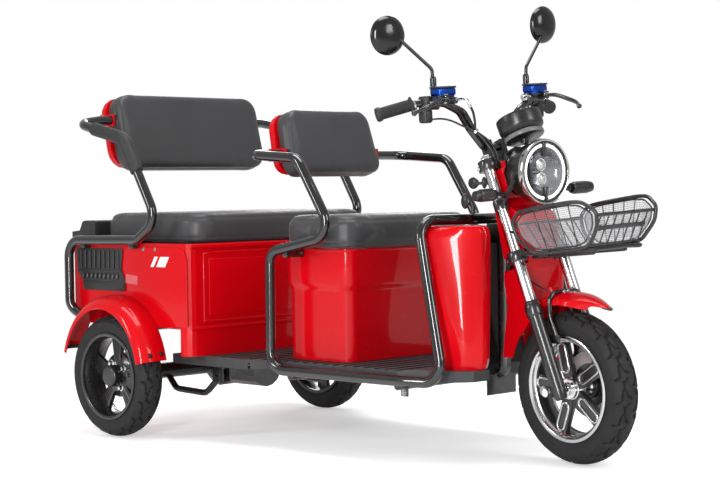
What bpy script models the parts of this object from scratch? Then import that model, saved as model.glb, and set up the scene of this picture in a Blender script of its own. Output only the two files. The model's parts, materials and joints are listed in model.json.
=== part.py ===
"""Electric passenger tricycle: one steered front wheel, a sprung rear axle and two seats.

Metres, +X forward, +Y to the rider's left, +Z up, standing on z = 0.
Every piece is modelled with the steering straight and the rear axle at x = 0. The steered
pieces hang from an empty on the steering axis, which is then turned by STEER_REST.
"""
import math

import bmesh
import bpy
from mathutils import Matrix, Vector

# Clearances
GAP = 0.0003
RUNNING_GAP = 0.0005
SLIDE_GAP = 0.0006

# Wheels
WHEELBASE = 1.414
FRONT_WHEEL_RADIUS = 0.205
FRONT_TYRE_WIDTH = 0.080
FRONT_RIM_RADIUS = 0.136
REAR_WHEEL_RADIUS = 0.185
REAR_TYRE_WIDTH = 0.083
REAR_RIM_RADIUS = 0.126
WHEEL_STAND_OFF = 0.035
RIM_WALL = 0.008
RIM_LIP = 0.005
TYRE_INNER_WALL = 0.006
SPOKES = 5
HUB_RADIUS = 0.028
HUB_LENGTH = 0.094
DISC_RADIUS = 0.090
DISC_WALL = 0.004
DISC_OFFSET = 0.054

# Steering and fork
RAKE = math.radians(21.5)
STEER_REST = math.radians(-7.5)
FORK_OFFSET = 0.043
AXLE_SETBACK = 0.020
AXLE_LUG_RADIUS = 0.013
LEG_SPREAD = 0.084
STANCHION_RADIUS = 0.0155
SLIDER_RADIUS = 0.0195
SLIDER_TOP = 0.240
SLIDER_BOTTOM = -0.028
DUST_CAP_RADIUS = 0.0225
DUST_CAP_LENGTH = 0.037
STANCHION_BOTTOM = 0.090
AXLE_RADIUS = 0.006
AXLE_NUT_RADIUS = 0.011
AXLE_NUT_LENGTH = 0.012
LOWER_YOKE = 0.354
YOKE_SPACING = 0.263
YOKE_DEPTH = 0.028
YOKE_RING = 0.0095
WEB_FRONT = -0.010
STEM_RADIUS = 0.0125
HEAD_TUBE_RADIUS = 0.024
HEAD_TUBE_WALL = 0.0065
BAR_RADIUS = 0.011
GRIP_RADIUS = 0.0165
BAR_HALF_WIDTH = 0.318
HEADLIGHT_CLAMP_DROP = 0.113
HEADLIGHT_RADIUS = 0.087
HEADLIGHT_RIM_DEPTH = 0.022
HEADLIGHT_SHELL_DEPTH = 0.112
CUP_RADIUS = 0.062
CUP_DEPTH = 0.066
COWL_HALF_WIDTH = 0.0645
COWL_WALL = 0.004
COWL_EDGE_RADIUS = 0.022
BASKET_TUBE_RADIUS = 0.0045
BASKET_WIRE_RADIUS = 0.003
CARRIER_RADIUS = 0.005
FENDER_RADIUS = 0.252
FENDER_HALF_WIDTH = 0.056
FENDER_WALL = 0.003
STAY_RADIUS = 0.006
MIRROR_RADIUS = 0.053
MIRROR_STEM_RADIUS = 0.005
HOSE_RADIUS = 0.003
LEVER_PIN_RADIUS = 0.003
SWITCH_BOX_BOTTOM = 0.922

# Frame, floor and body
RAIL_RADIUS = 0.017
RAIL_SPREAD = 0.150
RAIL_FRONT = 1.100
RAIL_REAR = -0.215
CROSS_RADIUS = 0.013
DOWN_TUBE_RADIUS = 0.017
FLOOR_TOP = 0.250
FLOOR_SHEET = 0.006
FLOOR_DEPTH = 0.026
FLOOR_FRONT = 1.232
FLOOR_NOTCH = 1.144
FRONT_CROSS_X = 1.040
DOWN_TUBE_X = 1.165
FLOOR_RIB = 0.003
FLOOR_RIB_PITCH = 0.040
STEP_HALF_WIDTH = 0.345
STEP_REAR = 0.155
STEP_FRONT = 0.485
GUARD_RADIUS = 0.0145
GUARD_SPREAD = 0.313
REAR_GUARD_STAND_OFF = 0.029
BODY_HALF_WIDTH = 0.400
BODY_REAR = -0.255
BODY_FRONT = 0.300
BODY_TOP = 0.585
BODY_WALL = 0.004
BODY_SIDE_BOTTOM = 0.335
BODY_COLUMN = 0.040
WELL_RADIUS = 0.216
WELL_DEPTH = 0.016
BODY_CORNER = 0.028
SEAT_BOX_REAR = 0.540
SEAT_BOX_FRONT = 0.805
SEAT_BOX_HALF_WIDTH = 0.245
SEAT_BOX_TOP = 0.572
SEAT_BOX_CORNER = 0.040
SEAT_BOX_CREASE = 0.470
SEAT_BOX_STEP = 0.006
CUSHION_HEIGHT = 0.090
REAR_CUSHION_HEIGHT = 0.086
CUSHION_OVERHANG = 0.030
DRIVER_BACK_LEAN = math.radians(15.5)
PASSENGER_BACK_LEAN = math.radians(13.5)
BACKREST_SHELL_RISE = 0.018
BACKREST_PAD = 0.060
BACKREST_SHELL = 0.028
DRIVER_BACK_TOP_HALF = 0.176
DRIVER_BACK_HALF_WIDTH = 0.196
DRIVER_BACK_HEIGHT = 0.204
DRIVER_BACK_FRONT = 0.512
DRIVER_BACK_MIDDLE = 0.884
PASSENGER_BACK_HALF_WIDTH = 0.302
PASSENGER_BACK_HEIGHT = 0.248
PASSENGER_BACK_FRONT = -0.138
PASSENGER_BACK_MIDDLE = 0.934
SHIELD_TOP = 0.636
SHIELD_REAR_TOP = 1.105
SHIELD_REAR_FOOT = 1.146
SHIELD_RIDGE = 1.236
SHIELD_OUTER_TOP = 0.256
SHIELD_OUTER_FOOT = 0.240
SHIELD_INNER_TOP = 0.108
SHIELD_INNER_FOOT = 0.124
SHIELD_WRAP_TOP = 0.044
SHIELD_WRAP_FOOT = 0.006
KNEE_PANEL_WALL = 0.012
HEAD_BAR_X = 1.130
HEAD_BAR_Z = 0.652
DRIVER_ARM_X = 0.485
DRIVER_ARM_Z = 0.841
REAR_ARM_X = -0.188
REAR_ARM_Z = 0.965
ARMREST_CORNERS = ((-0.183, 0.952), (0.045, 0.900), (0.194, 0.655))
ARMREST_BEND = 0.060
REAR_SEAT_REAR = -0.168
REAR_SEAT_HINGE_Z = 0.655
FENDER_CLEARANCE = 0.0155
FENDER_CENTRE_X = -0.015
FENDER_HALF_LENGTH = 0.203
FENDER_RISE = 0.231
SHIELD_WALL = 0.004

# Rear axle
ARM_SPREAD = 0.242
ARM_PIVOT_X = 0.250
ARM_HANGER_X = 0.270
ARM_PIVOT_Z = 0.180
ARM_RADIUS = 0.010
ARM_BUSH_RADIUS = 0.014
ARM_BUSH_LENGTH = 0.022
PIVOT_BOLT_RADIUS = 0.006
CHEEK_WALL = 0.005
AXLE_TUBE_RADIUS = 0.024
AXLE_TUBE_SHORT = 0.083
BRAKE_PLATE_RADIUS = 0.066
BRAKE_PLATE_WALL = 0.010
SPINDLE_RADIUS = 0.012
SPINDLE_REACH = 0.013
DIFFERENTIAL_RADIUS = 0.066
MOTOR_RADIUS = 0.060
MOTOR_LENGTH = 0.140
SHOCK_X = -0.075
SHOCK_SPREAD = 0.250
SHOCK_COIL_RADIUS = 0.021
SHOCK_WIRE_RADIUS = 0.0035
SHOCK_TURNS = 4

ROUND = 16
WHEEL_STEPS = 28

MATERIALS = {
    "red_plastic": ((0.62, 0.008, 0.012), 0.22, 0.0),
    "black_tube": ((0.012, 0.012, 0.013), 0.20, 0.0),
    "black_plastic": ((0.030, 0.031, 0.033), 0.50, 0.0),
    "black_leather": ((0.035, 0.036, 0.039), 0.48, 0.0),
    "tyre_rubber": ((0.028, 0.028, 0.029), 0.80, 0.0),
    "chrome": ((0.80, 0.80, 0.81), 0.12, 1.0),
    "alloy": ((0.55, 0.56, 0.57), 0.32, 1.0),
    "black_metal": ((0.030, 0.030, 0.032), 0.38, 0.4),
    "red_lamp": ((0.55, 0.010, 0.010), 0.12, 0.0),
    "clear_lamp": ((0.80, 0.82, 0.85), 0.08, 0.0),
}

FORK_UP = Vector((-math.sin(RAKE), 0.0, math.cos(RAKE)))
FORK_AHEAD = Vector((math.cos(RAKE), 0.0, math.sin(RAKE)))
WHEEL_CENTRE = Vector((WHEELBASE, 0.0, FRONT_WHEEL_RADIUS))
LEG_FOOT = WHEEL_CENTRE + AXLE_SETBACK * FORK_AHEAD
FORK_FRAME = Matrix((
    (FORK_AHEAD.x, 0.0, FORK_UP.x, LEG_FOOT.x),
    (0.0, 1.0, 0.0, 0.0),
    (FORK_AHEAD.z, 0.0, FORK_UP.z, LEG_FOOT.z),
    (0.0, 0.0, 0.0, 1.0),
))
BAR_CORNERS = (
    (1.136, 0.035, 0.846), (1.119, 0.070, 0.900), (1.126, 0.112, 0.950), (1.118, 0.158, 0.974),
    (1.086, 0.222, 0.977), (1.033, BAR_HALF_WIDTH, 0.951),
)
BAR_BENDS = (0.022, 0.045, 0.045, 0.050, 0.080, 0.0)
BAR_BEND, BAR_END = Vector(BAR_CORNERS[-2]), Vector(BAR_CORNERS[-1])
LEVER_PIVOT = Vector((1.156, 0.184, 0.984))
MIRROR_FOOT = Vector((1.094, 0.172, 1.006))
MIRROR_STEM_END = Vector((1.058, 0.288, 1.164))
MIRROR_CENTRES = {"right": Vector((1.052, -0.288, 1.1605)), "left": Vector((1.052, 0.288, 1.187))}
HEADLIGHT_CENTRE = Vector((1.322, 0.0, 0.777))
INDICATOR_ROOT = Vector((1.262, 0.080, 0.712))
INDICATOR_ELBOW = Vector((1.279, 0.105, 0.724))
INDICATOR_START = Vector((1.284, 0.140, 0.7255))
INDICATOR_END = Vector((1.289, 0.218, 0.7250))
UPPER_YOKE = LOWER_YOKE + YOKE_SPACING
HEADLIGHT_CLAMP = UPPER_YOKE - HEADLIGHT_CLAMP_DROP
REAR_HALF_TRACK = BODY_HALF_WIDTH + WHEEL_STAND_OFF
REAR_GUARD_SPREAD = BODY_HALF_WIDTH + REAR_GUARD_STAND_OFF
WELL_INNER = BODY_HALF_WIDTH - WELL_DEPTH
AXLE_TUBE_END = REAR_HALF_TRACK - AXLE_TUBE_SHORT
SPINDLE_END = REAR_HALF_TRACK + SPINDLE_REACH
FENDER_INNER = BODY_HALF_WIDTH + GAP
FENDER_OUTER = REAR_HALF_TRACK + REAR_TYRE_WIDTH / 2 + FENDER_CLEARANCE
FLOOR_SEAT = FLOOR_TOP + FLOOR_RIB + GAP
RAIL_LOW = FLOOR_TOP - FLOOR_SHEET - GAP - RAIL_RADIUS
RAIL_HIGH = BODY_SIDE_BOTTOM - GAP - RAIL_RADIUS


def clear_scene():
    for item in list(bpy.data.objects):
        bpy.data.objects.remove(item, do_unlink=True)


def finish_for(name):
    """The Principled material of that name, made once."""
    found = bpy.data.materials.get(name)
    if found:
        return found
    colour, roughness, metallic = MATERIALS[name]
    made = bpy.data.materials.new(name)
    made.use_nodes = True
    shader = made.node_tree.nodes["Principled BSDF"]
    shader.inputs["Base Color"].default_value = (*colour, 1.0)
    shader.inputs["Roughness"].default_value = roughness
    shader.inputs["Metallic"].default_value = metallic
    made.diffuse_color = (*colour, 1.0)
    return made


def place(name, shape, finish, smooth_angle=35.0):
    """Make the object NAME from a bmesh, in vehicle coordinates."""
    mesh = bpy.data.meshes.new(name)
    bmesh.ops.recalc_face_normals(shape, faces=shape.faces)
    shape.to_mesh(mesh)
    shape.free()
    mesh.shade_smooth()
    mesh.set_sharp_from_angle(angle=math.radians(smooth_angle))
    item = bpy.data.objects.new(name, mesh)
    bpy.context.scene.collection.objects.link(item)
    mesh.materials.append(finish_for(finish))
    return item


def block(low, high):
    """A box between two corners."""
    shape = bmesh.new()
    bmesh.ops.create_cube(shape, size=1.0)
    low, high = Vector(low), Vector(high)
    bmesh.ops.scale(shape, vec=high - low, verts=shape.verts)
    bmesh.ops.translate(shape, vec=(low + high) / 2, verts=shape.verts)
    return shape


def soften(shape, radius, segments=2, choose=None):
    """Round the edges that choose picks, or all of them."""
    edges = [edge for edge in shape.edges if choose is None or choose(edge)]
    bmesh.ops.bevel(shape, geom=edges, offset=radius, offset_type="OFFSET", segments=segments,
                    profile=0.5, affect="EDGES", material=-1, clamp_overlap=True)
    return shape


def upright(edge):
    direction = edge.verts[1].co - edge.verts[0].co
    return abs(direction.z) > 0.9 * direction.length


def extruded(outline, low, high, across="Y"):
    """A prism of an outline of (x, z), (x, y) or (y, z) pairs, between two offsets across it."""
    to_space = {
        "Y": lambda first, second, depth: (first, depth, second),
        "Z": lambda first, second, depth: (first, second, depth),
        "X": lambda first, second, depth: (depth, first, second),
    }[across]
    shape = bmesh.new()
    ring = [shape.verts.new(to_space(first, second, low)) for first, second in outline]
    face = shape.faces.new(ring)
    grown = bmesh.ops.extrude_face_region(shape, geom=[face])
    moved = [part for part in grown["geom"] if isinstance(part, bmesh.types.BMVert)]
    bmesh.ops.translate(shape, vec=Vector(to_space(0.0, 0.0, high - low)), verts=moved)
    bmesh.ops.recalc_face_normals(shape, faces=shape.faces)
    return shape


def turned(profile, frame=None, steps=ROUND, closed=False):
    """Spin (radius, height) points round local Z. A closed profile makes a ring."""
    shape = bmesh.new()
    ring = [shape.verts.new((radius, 0.0, height)) for radius, height in profile]
    pairs = list(zip(ring, ring[1:]))
    if closed:
        pairs.append((ring[-1], ring[0]))
    edges = [shape.edges.new(pair) for pair in pairs]
    bmesh.ops.spin(shape, geom=ring + edges, cent=(0, 0, 0), axis=(0, 0, 1), angle=math.tau,
                   steps=steps, use_merge=True)
    bmesh.ops.remove_doubles(shape, verts=shape.verts, dist=1e-6)
    bmesh.ops.recalc_face_normals(shape, faces=shape.faces)
    if frame is not None:
        bmesh.ops.transform(shape, matrix=frame, verts=shape.verts)
    return shape


def along(start, end):
    """A frame at start whose Z runs to end."""
    start, end = Vector(start), Vector(end)
    turn = (end - start).to_track_quat("Z", "Y").to_matrix().to_4x4()
    return Matrix.Translation(start) @ turn


def rod(start, end, radius, steps=12):
    length = (Vector(end) - Vector(start)).length
    return turned([(0.0, 0.0), (radius, 0.0), (radius, length), (0.0, length)],
                  along(start, end), steps)


def ring_tube(start, end, outer, inner, steps=ROUND):
    length = (Vector(end) - Vector(start)).length
    return turned([(inner, 0.0), (outer, 0.0), (outer, length), (inner, length)],
                  along(start, end), steps, closed=True)


def rounded(corners, step=math.radians(30)):
    """A path through (point, bend radius) corners, with an arc at each bend."""
    points = [Vector(point) for point, _ in corners]
    path = [points[0]]
    for before, corner, after, radius in zip(points, points[1:], points[2:],
                                             [bend for _, bend in corners[1:]]):
        to_before = (before - corner).normalized()
        to_after = (after - corner).normalized()
        half = to_before.angle(to_after) / 2
        reach = radius / math.tan(half)
        centre = corner + (to_before + to_after).normalized() * (radius / math.sin(half))
        first = corner + to_before * reach - centre
        last = corner + to_after * reach - centre
        sweep = first.angle(last)
        count = max(2, math.ceil(sweep / step))
        for index in range(count + 1):
            share = index / count
            blend = math.sin((1 - share) * sweep) * first + math.sin(share * sweep) * last
            path.append(centre + blend / math.sin(sweep))
    path.append(points[-1])
    return path


def smooth_route(points, pieces=4):
    """A smooth curve through the given points, read at a few places between each pair."""
    points = [Vector(point) for point in points]
    padded = [2 * points[0] - points[1]] + points + [2 * points[-1] - points[-2]]
    route = []
    for a, b, c, d in zip(padded, padded[1:], padded[2:], padded[3:]):
        for index in range(pieces):
            t = index / pieces
            route.append(0.5 * (2 * b + (c - a) * t + (2 * a - 5 * b + 4 * c - d) * t ** 2
                                + (3 * b - a - 3 * c + d) * t ** 3))
    route.append(points[-1])
    return route


def pipe(path, radius, detail=2, cyclic=False):
    """A round bar swept along a path, as a mesh."""
    curve = bpy.data.curves.new("pipe", "CURVE")
    curve.dimensions = "3D"
    curve.bevel_depth = radius
    curve.bevel_resolution = detail
    curve.use_fill_caps = not cyclic
    spline = curve.splines.new("POLY")
    spline.points.add(len(path) - 1)
    for point, place_at in zip(spline.points, path):
        point.co = (*place_at, 1.0)
    spline.use_cyclic_u = cyclic
    holder = bpy.data.objects.new("pipe", curve)
    bpy.context.scene.collection.objects.link(holder)
    bpy.context.view_layer.update()
    mesh = bpy.data.meshes.new_from_object(holder.evaluated_get(bpy.context.evaluated_depsgraph_get()))
    shape = bmesh.new()
    shape.from_mesh(mesh)
    bpy.data.objects.remove(holder, do_unlink=True)
    bmesh.ops.remove_doubles(shape, verts=shape.verts, dist=1e-6)
    bmesh.ops.recalc_face_normals(shape, faces=shape.faces)
    return shape


def holder(shape):
    """A plain object that carries a shape while modifiers work on it."""
    mesh = bpy.data.meshes.new("working")
    shape.to_mesh(mesh)
    shape.free()
    item = bpy.data.objects.new("working", mesh)
    bpy.context.scene.collection.objects.link(item)
    return item


def combined(base, others, operation):
    """Union or difference of closed shapes, one Boolean modifier after another."""
    result = base
    for shape in others:
        body, helper = holder(result), holder(shape)
        modifier = body.modifiers.new("join", "BOOLEAN")
        modifier.operation = operation
        modifier.solver = "EXACT"
        modifier.object = helper
        bpy.context.view_layer.update()
        mesh = bpy.data.meshes.new_from_object(body.evaluated_get(bpy.context.evaluated_depsgraph_get()))
        result = bmesh.new()
        result.from_mesh(mesh)
        for item in (body, helper):
            bpy.data.objects.remove(item, do_unlink=True)
        bmesh.ops.remove_doubles(result, verts=result.verts, dist=2e-6)
        bmesh.ops.dissolve_degenerate(result, edges=result.edges, dist=2e-6)
    return result


def fused(base, *others):
    return combined(base, others, "UNION")


def cut(base, *others):
    return combined(base, others, "DIFFERENCE")


def hollowed(shape, wall, open_towards):
    """A thin-walled shell of a closed shape, without the faces that look along open_towards."""
    direction = Vector(open_towards)
    shape.normal_update()
    gone = [face for face in shape.faces if face.normal.dot(direction) > 0.95]
    bmesh.ops.delete(shape, geom=gone, context="FACES")
    bmesh.ops.solidify(shape, geom=shape.faces[:], thickness=wall)
    bmesh.ops.recalc_face_normals(shape, faces=shape.faces)
    return shape


def fork_point(ahead, side, up):
    """A point in the fork's own frame, whose origin is the legs' line level with the axle."""
    return FORK_FRAME @ Vector((ahead, side, up))


def wheel_frame(centre):
    """A frame on a wheel's axle whose Z runs to the vehicle's left."""
    return Matrix.Translation(centre) @ Matrix.Rotation(-math.pi / 2, 4, "X")


def tyre(name, centre, radius, width, rim_radius):
    half = width / 2
    seat = half - TYRE_INNER_WALL
    depth = radius - rim_radius
    outer = [
        (rim_radius + GAP, seat - GAP),
        (rim_radius + RIM_LIP + GAP, seat - GAP),
        (rim_radius + 0.42 * depth, half),
        (rim_radius + 0.82 * depth, half * 0.80),
        (radius, half * 0.20),
    ]
    profile = outer + [(r, -y) for r, y in reversed(outer)]
    shape = turned(profile, wheel_frame(centre), WHEEL_STEPS, closed=True)
    return place(name, shape, "tyre_rubber", 50.0)


def rim_barrel(centre, radius, width):
    seat = width / 2 - TYRE_INNER_WALL
    lip = seat + RIM_LIP
    inner = radius - RIM_WALL
    profile = [
        (radius, -seat), (radius + RIM_LIP, -seat), (radius + RIM_LIP, -lip), (inner, -lip),
        (inner, lip), (radius + RIM_LIP, lip), (radius + RIM_LIP, seat), (radius, seat),
    ]
    return turned(profile, wheel_frame(centre), WHEEL_STEPS, closed=True)


def slotted_spoke(root, tip, width, slot, depth, angle, frame):
    """One spoke: a long rounded loop from the hub to the rim, open in its middle."""
    def oval(start, end, half):
        points = []
        for centre, first in ((end, -math.pi / 2), (start, math.pi / 2)):
            for index in range(3):
                turn = first + math.pi * index / 2
                points.append((centre + half * math.cos(turn), half * math.sin(turn)))
        return points

    half = width / 2
    solid = extruded(oval(root, tip, half), -depth / 2, depth / 2, "Z")
    hole = extruded(oval(root + 0.008, tip - 0.008, slot / 2), -depth, depth, "Z")
    solid = cut(solid, hole)
    bmesh.ops.transform(solid, matrix=frame @ Matrix.Rotation(angle, 4, "Z"), verts=solid.verts)
    return solid


def front_wheel():
    tyre("front_tyre", WHEEL_CENTRE, FRONT_WHEEL_RADIUS, FRONT_TYRE_WIDTH, FRONT_RIM_RADIUS)
    frame = wheel_frame(WHEEL_CENTRE)
    half_hub = HUB_LENGTH / 2
    bore = AXLE_RADIUS + RUNNING_GAP
    hub = turned([
        (bore, -half_hub), (HUB_RADIUS * 0.7, -half_hub), (HUB_RADIUS, -half_hub + 0.012),
        (HUB_RADIUS, DISC_OFFSET - DISC_WALL - 0.014), (0.040, DISC_OFFSET - DISC_WALL - 0.010),
        (0.040, DISC_OFFSET - DISC_WALL / 2), (DISC_RADIUS, DISC_OFFSET - DISC_WALL / 2),
        (DISC_RADIUS, DISC_OFFSET + DISC_WALL / 2), (0.030, DISC_OFFSET + DISC_WALL / 2),
        (0.030, DISC_OFFSET + 0.006), (bore, DISC_OFFSET + 0.006),
    ], frame, ROUND, closed=True)
    spokes = []
    for index in range(SPOKES):
        angle = math.radians(40.0) + math.tau * index / SPOKES
        offset = frame @ Matrix.Translation((0.0, 0.0, -0.014))
        spokes.append(slotted_spoke(0.040, FRONT_RIM_RADIUS - 0.026, 0.040, 0.012, 0.018,
                                    angle, offset))
    shape = fused(rim_barrel(WHEEL_CENTRE, FRONT_RIM_RADIUS, FRONT_TYRE_WIDTH), hub, *spokes)
    place("front_rim", shape, "black_metal")


def rear_wheel(name, side):
    centre = Vector((0.0, side * REAR_HALF_TRACK, REAR_WHEEL_RADIUS))
    tyre("rear_tyre_" + name, centre, REAR_WHEEL_RADIUS, REAR_TYRE_WIDTH, REAR_RIM_RADIUS)
    outward = wheel_frame(centre) if side > 0 else wheel_frame(centre) @ Matrix.Rotation(math.pi, 4, "X")
    inner_face = AXLE_TUBE_END + BRAKE_PLATE_WALL + 0.004 - REAR_HALF_TRACK
    blind = SPINDLE_END + 0.002 - REAR_HALF_TRACK
    bore = SPINDLE_RADIUS + RUNNING_GAP
    hub = turned([
        (0.0, blind), (bore, blind), (bore, inner_face), (BRAKE_PLATE_RADIUS, inner_face),
        (BRAKE_PLATE_RADIUS, inner_face + 0.030), (0.046, inner_face + 0.036),
        (0.034, blind - 0.004), (0.032, blind + 0.018), (0.026, blind + 0.024), (0.0, blind + 0.024),
    ], outward, ROUND)
    spokes = []
    for index in range(SPOKES):
        turn = outward @ Matrix.Rotation(math.tau * index / SPOKES + 0.3, 4, "Z")
        root, tip = 0.022, REAR_RIM_RADIUS - 0.006
        spoke = extruded([(root, -0.016), (tip, -0.011), (tip, 0.011), (root, 0.016)],
                         -0.012, 0.004, "Z")
        bmesh.ops.transform(spoke, matrix=turn, verts=spoke.verts)
        spokes.append(spoke)
    shape = fused(rim_barrel(centre, REAR_RIM_RADIUS, REAR_TYRE_WIDTH), hub, *spokes)
    place("rear_rim_" + name, shape, "black_metal")


def rear_axle():
    """Axle tube, differential with its motor, two trailing arms and the spindles, as one casting."""
    plate = AXLE_TUBE_END - 0.004
    plate_end = AXLE_TUBE_END + BRAKE_PLATE_WALL
    half = [
        (AXLE_TUBE_RADIUS, plate), (BRAKE_PLATE_RADIUS, plate), (BRAKE_PLATE_RADIUS, plate_end),
        (SPINDLE_RADIUS, plate_end), (SPINDLE_RADIUS, SPINDLE_END), (0.0, SPINDLE_END),
    ]
    profile = [(radius, -y) for radius, y in reversed(half)] + half
    tube = turned(profile, wheel_frame((0.0, 0.0, REAR_WHEEL_RADIUS)), 16)
    case = turned([
        (0.0, -0.058), (0.040, -0.058), (DIFFERENTIAL_RADIUS, -0.030), (DIFFERENTIAL_RADIUS, 0.030),
        (0.040, 0.058), (0.0, 0.058),
    ], wheel_frame((0.0, 0.0, REAR_WHEEL_RADIUS)), ROUND)
    pieces = [case]
    sag = Vector((0.185, 0.0, 0.126))
    pivot = Vector((ARM_PIVOT_X, 0.0, ARM_PIVOT_Z))
    arm_end = pivot - (pivot - sag).normalized() * ARM_BUSH_RADIUS * 0.75
    for side in (-1, 1):
        across = Vector((0.0, side * ARM_SPREAD, 0.0))
        pieces.append(pipe(rounded([
            (Vector((-0.006, 0.0, REAR_WHEEL_RADIUS - 0.003)) + across, 0),
            (Vector((0.043, 0.0, 0.131)) + across, 0.030), (sag + across, 0.040), (arm_end + across, 0),
        ]), ARM_RADIUS, 2))
        reach = Vector((0.0, ARM_BUSH_LENGTH / 2, 0.0))
        pieces.append(ring_tube(pivot + across - reach, pivot + across + reach,
                                ARM_BUSH_RADIUS, PIVOT_BOLT_RADIUS + RUNNING_GAP, 12))
        pieces.append(block((SHOCK_X - 0.014, side * SHOCK_SPREAD - 0.014, REAR_WHEEL_RADIUS - 0.012),
                            (0.0, side * SHOCK_SPREAD + 0.014, REAR_WHEEL_RADIUS + 0.004)))
    start = DIFFERENTIAL_RADIUS * 0.8
    pieces.append(turned([
        (0.0, 0.0), (MOTOR_RADIUS, 0.0), (MOTOR_RADIUS, MOTOR_LENGTH), (0.0, MOTOR_LENGTH),
    ], along((start, 0.0, REAR_WHEEL_RADIUS), (start + 1.0, 0.0, REAR_WHEEL_RADIUS)), ROUND))
    place("rear_axle", fused(tube, *pieces), "black_metal")


def rear_shock(name, side):
    """Damper rod between two collars, with the spring wound round it."""
    low = REAR_WHEEL_RADIUS + 0.004 + GAP
    high = RAIL_HIGH - CROSS_RADIUS - GAP
    spot = (SHOCK_X, side * SHOCK_SPREAD)
    collar = SHOCK_COIL_RADIUS + SHOCK_WIRE_RADIUS
    damper = turned([
        (0.0, low), (collar, low), (collar, low + 0.008), (0.013, low + 0.010), (0.013, high - 0.050),
        (0.007, high - 0.048), (0.007, high - 0.010), (collar, high - 0.008), (collar, high), (0.0, high),
    ], Matrix.Translation((*spot, 0.0)), 10)
    steps = 8 * SHOCK_TURNS
    start, end = low + 0.008, high - 0.008
    helix = [Vector((spot[0] + SHOCK_COIL_RADIUS * math.cos(math.tau * index / 8),
                     spot[1] + SHOCK_COIL_RADIUS * math.sin(math.tau * index / 8),
                     start + (end - start) * index / steps)) for index in range(steps + 1)]
    place("rear_shock_" + name, fused(damper, pipe(helix, SHOCK_WIRE_RADIUS, 0)), "red_plastic")


def chassis():
    """Rails, cross members, arm brackets, down tube and head tube, welded into one frame."""
    pieces = []
    cross_low = FLOOR_TOP - FLOOR_DEPTH - GAP - CROSS_RADIUS
    guard_inner = GUARD_SPREAD - GUARD_RADIUS - GAP
    shock_reach = SHOCK_SPREAD + 0.030
    hanger_reach = ARM_SPREAD + 0.020
    step_arm = STEP_HALF_WIDTH - 0.040
    for side in (-1, 1):
        y = side * RAIL_SPREAD
        pieces.append(pipe(rounded([
            ((RAIL_FRONT, y, RAIL_LOW), 0), ((0.205, y, RAIL_LOW), 0.05), ((0.120, y, RAIL_HIGH), 0.05),
            ((RAIL_REAR, y, RAIL_HIGH), 0),
        ]), RAIL_RADIUS, 1))
        for x in (0.620, FRONT_CROSS_X):
            pieces.append(rod((x, y, cross_low), (x, y, RAIL_LOW), CROSS_RADIUS * 0.8, 8))
        arm = side * ARM_SPREAD
        for cheek in (-1, 1):
            middle = arm + cheek * (ARM_BUSH_LENGTH / 2 + GAP + CHEEK_WALL / 2)
            pieces.append(block((ARM_PIVOT_X - 0.014, middle - CHEEK_WALL / 2, ARM_PIVOT_Z - 0.014),
                                (ARM_HANGER_X + 0.010, middle + CHEEK_WALL / 2,
                                 FLOOR_TOP - FLOOR_DEPTH - GAP)))
        reach = ARM_BUSH_LENGTH / 2 + CHEEK_WALL + 0.006
        pieces.append(rod((ARM_PIVOT_X, arm - reach, ARM_PIVOT_Z), (ARM_PIVOT_X, arm + reach, ARM_PIVOT_Z),
                          PIVOT_BOLT_RADIUS))
    for x, z, reach in ((0.620, cross_low, guard_inner), (FRONT_CROSS_X, cross_low, guard_inner),
                        (0.330, RAIL_LOW, step_arm), (ARM_HANGER_X, RAIL_LOW, hanger_reach),
                        (SHOCK_X, RAIL_HIGH, shock_reach), (RAIL_REAR + 0.020, RAIL_HIGH, RAIL_SPREAD)):
        pieces.append(rod((x, -reach, z), (x, reach, z), CROSS_RADIUS, 8))
    bottom, top = LOWER_YOKE + YOKE_DEPTH + RUNNING_GAP, UPPER_YOKE - RUNNING_GAP
    pieces.append(pipe(rounded([
        (tuple(fork_point(-FORK_OFFSET, 0.0, bottom + 0.090)), 0),
        ((DOWN_TUBE_X, 0.0, 0.600), 0.03), ((DOWN_TUBE_X, 0.0, RAIL_LOW), 0.02),
        ((FRONT_CROSS_X - 0.010, 0.0, RAIL_LOW), 0),
    ]), DOWN_TUBE_RADIUS, 1))
    pieces.append(block((1.118, -0.014, 0.585), (DOWN_TUBE_X, 0.014, HEAD_BAR_Z - GUARD_RADIUS - GAP)))
    pieces.append(block((1.150, -0.060, 0.170), (1.1535, 0.060, FLOOR_TOP - FLOOR_DEPTH - 0.0015)))
    head_bottom, head_top = fork_point(-FORK_OFFSET, 0, bottom), fork_point(-FORK_OFFSET, 0, top)
    shape = fused(rod(head_bottom, head_top, HEAD_TUBE_RADIUS, 20), *pieces)
    bore = rod(fork_point(-FORK_OFFSET, 0, bottom - 0.01), fork_point(-FORK_OFFSET, 0, top + 0.01),
               HEAD_TUBE_RADIUS - HEAD_TUBE_WALL, 20)
    shape = cut(shape, bore)
    place("chassis_frame", shape, "black_metal")


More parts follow.
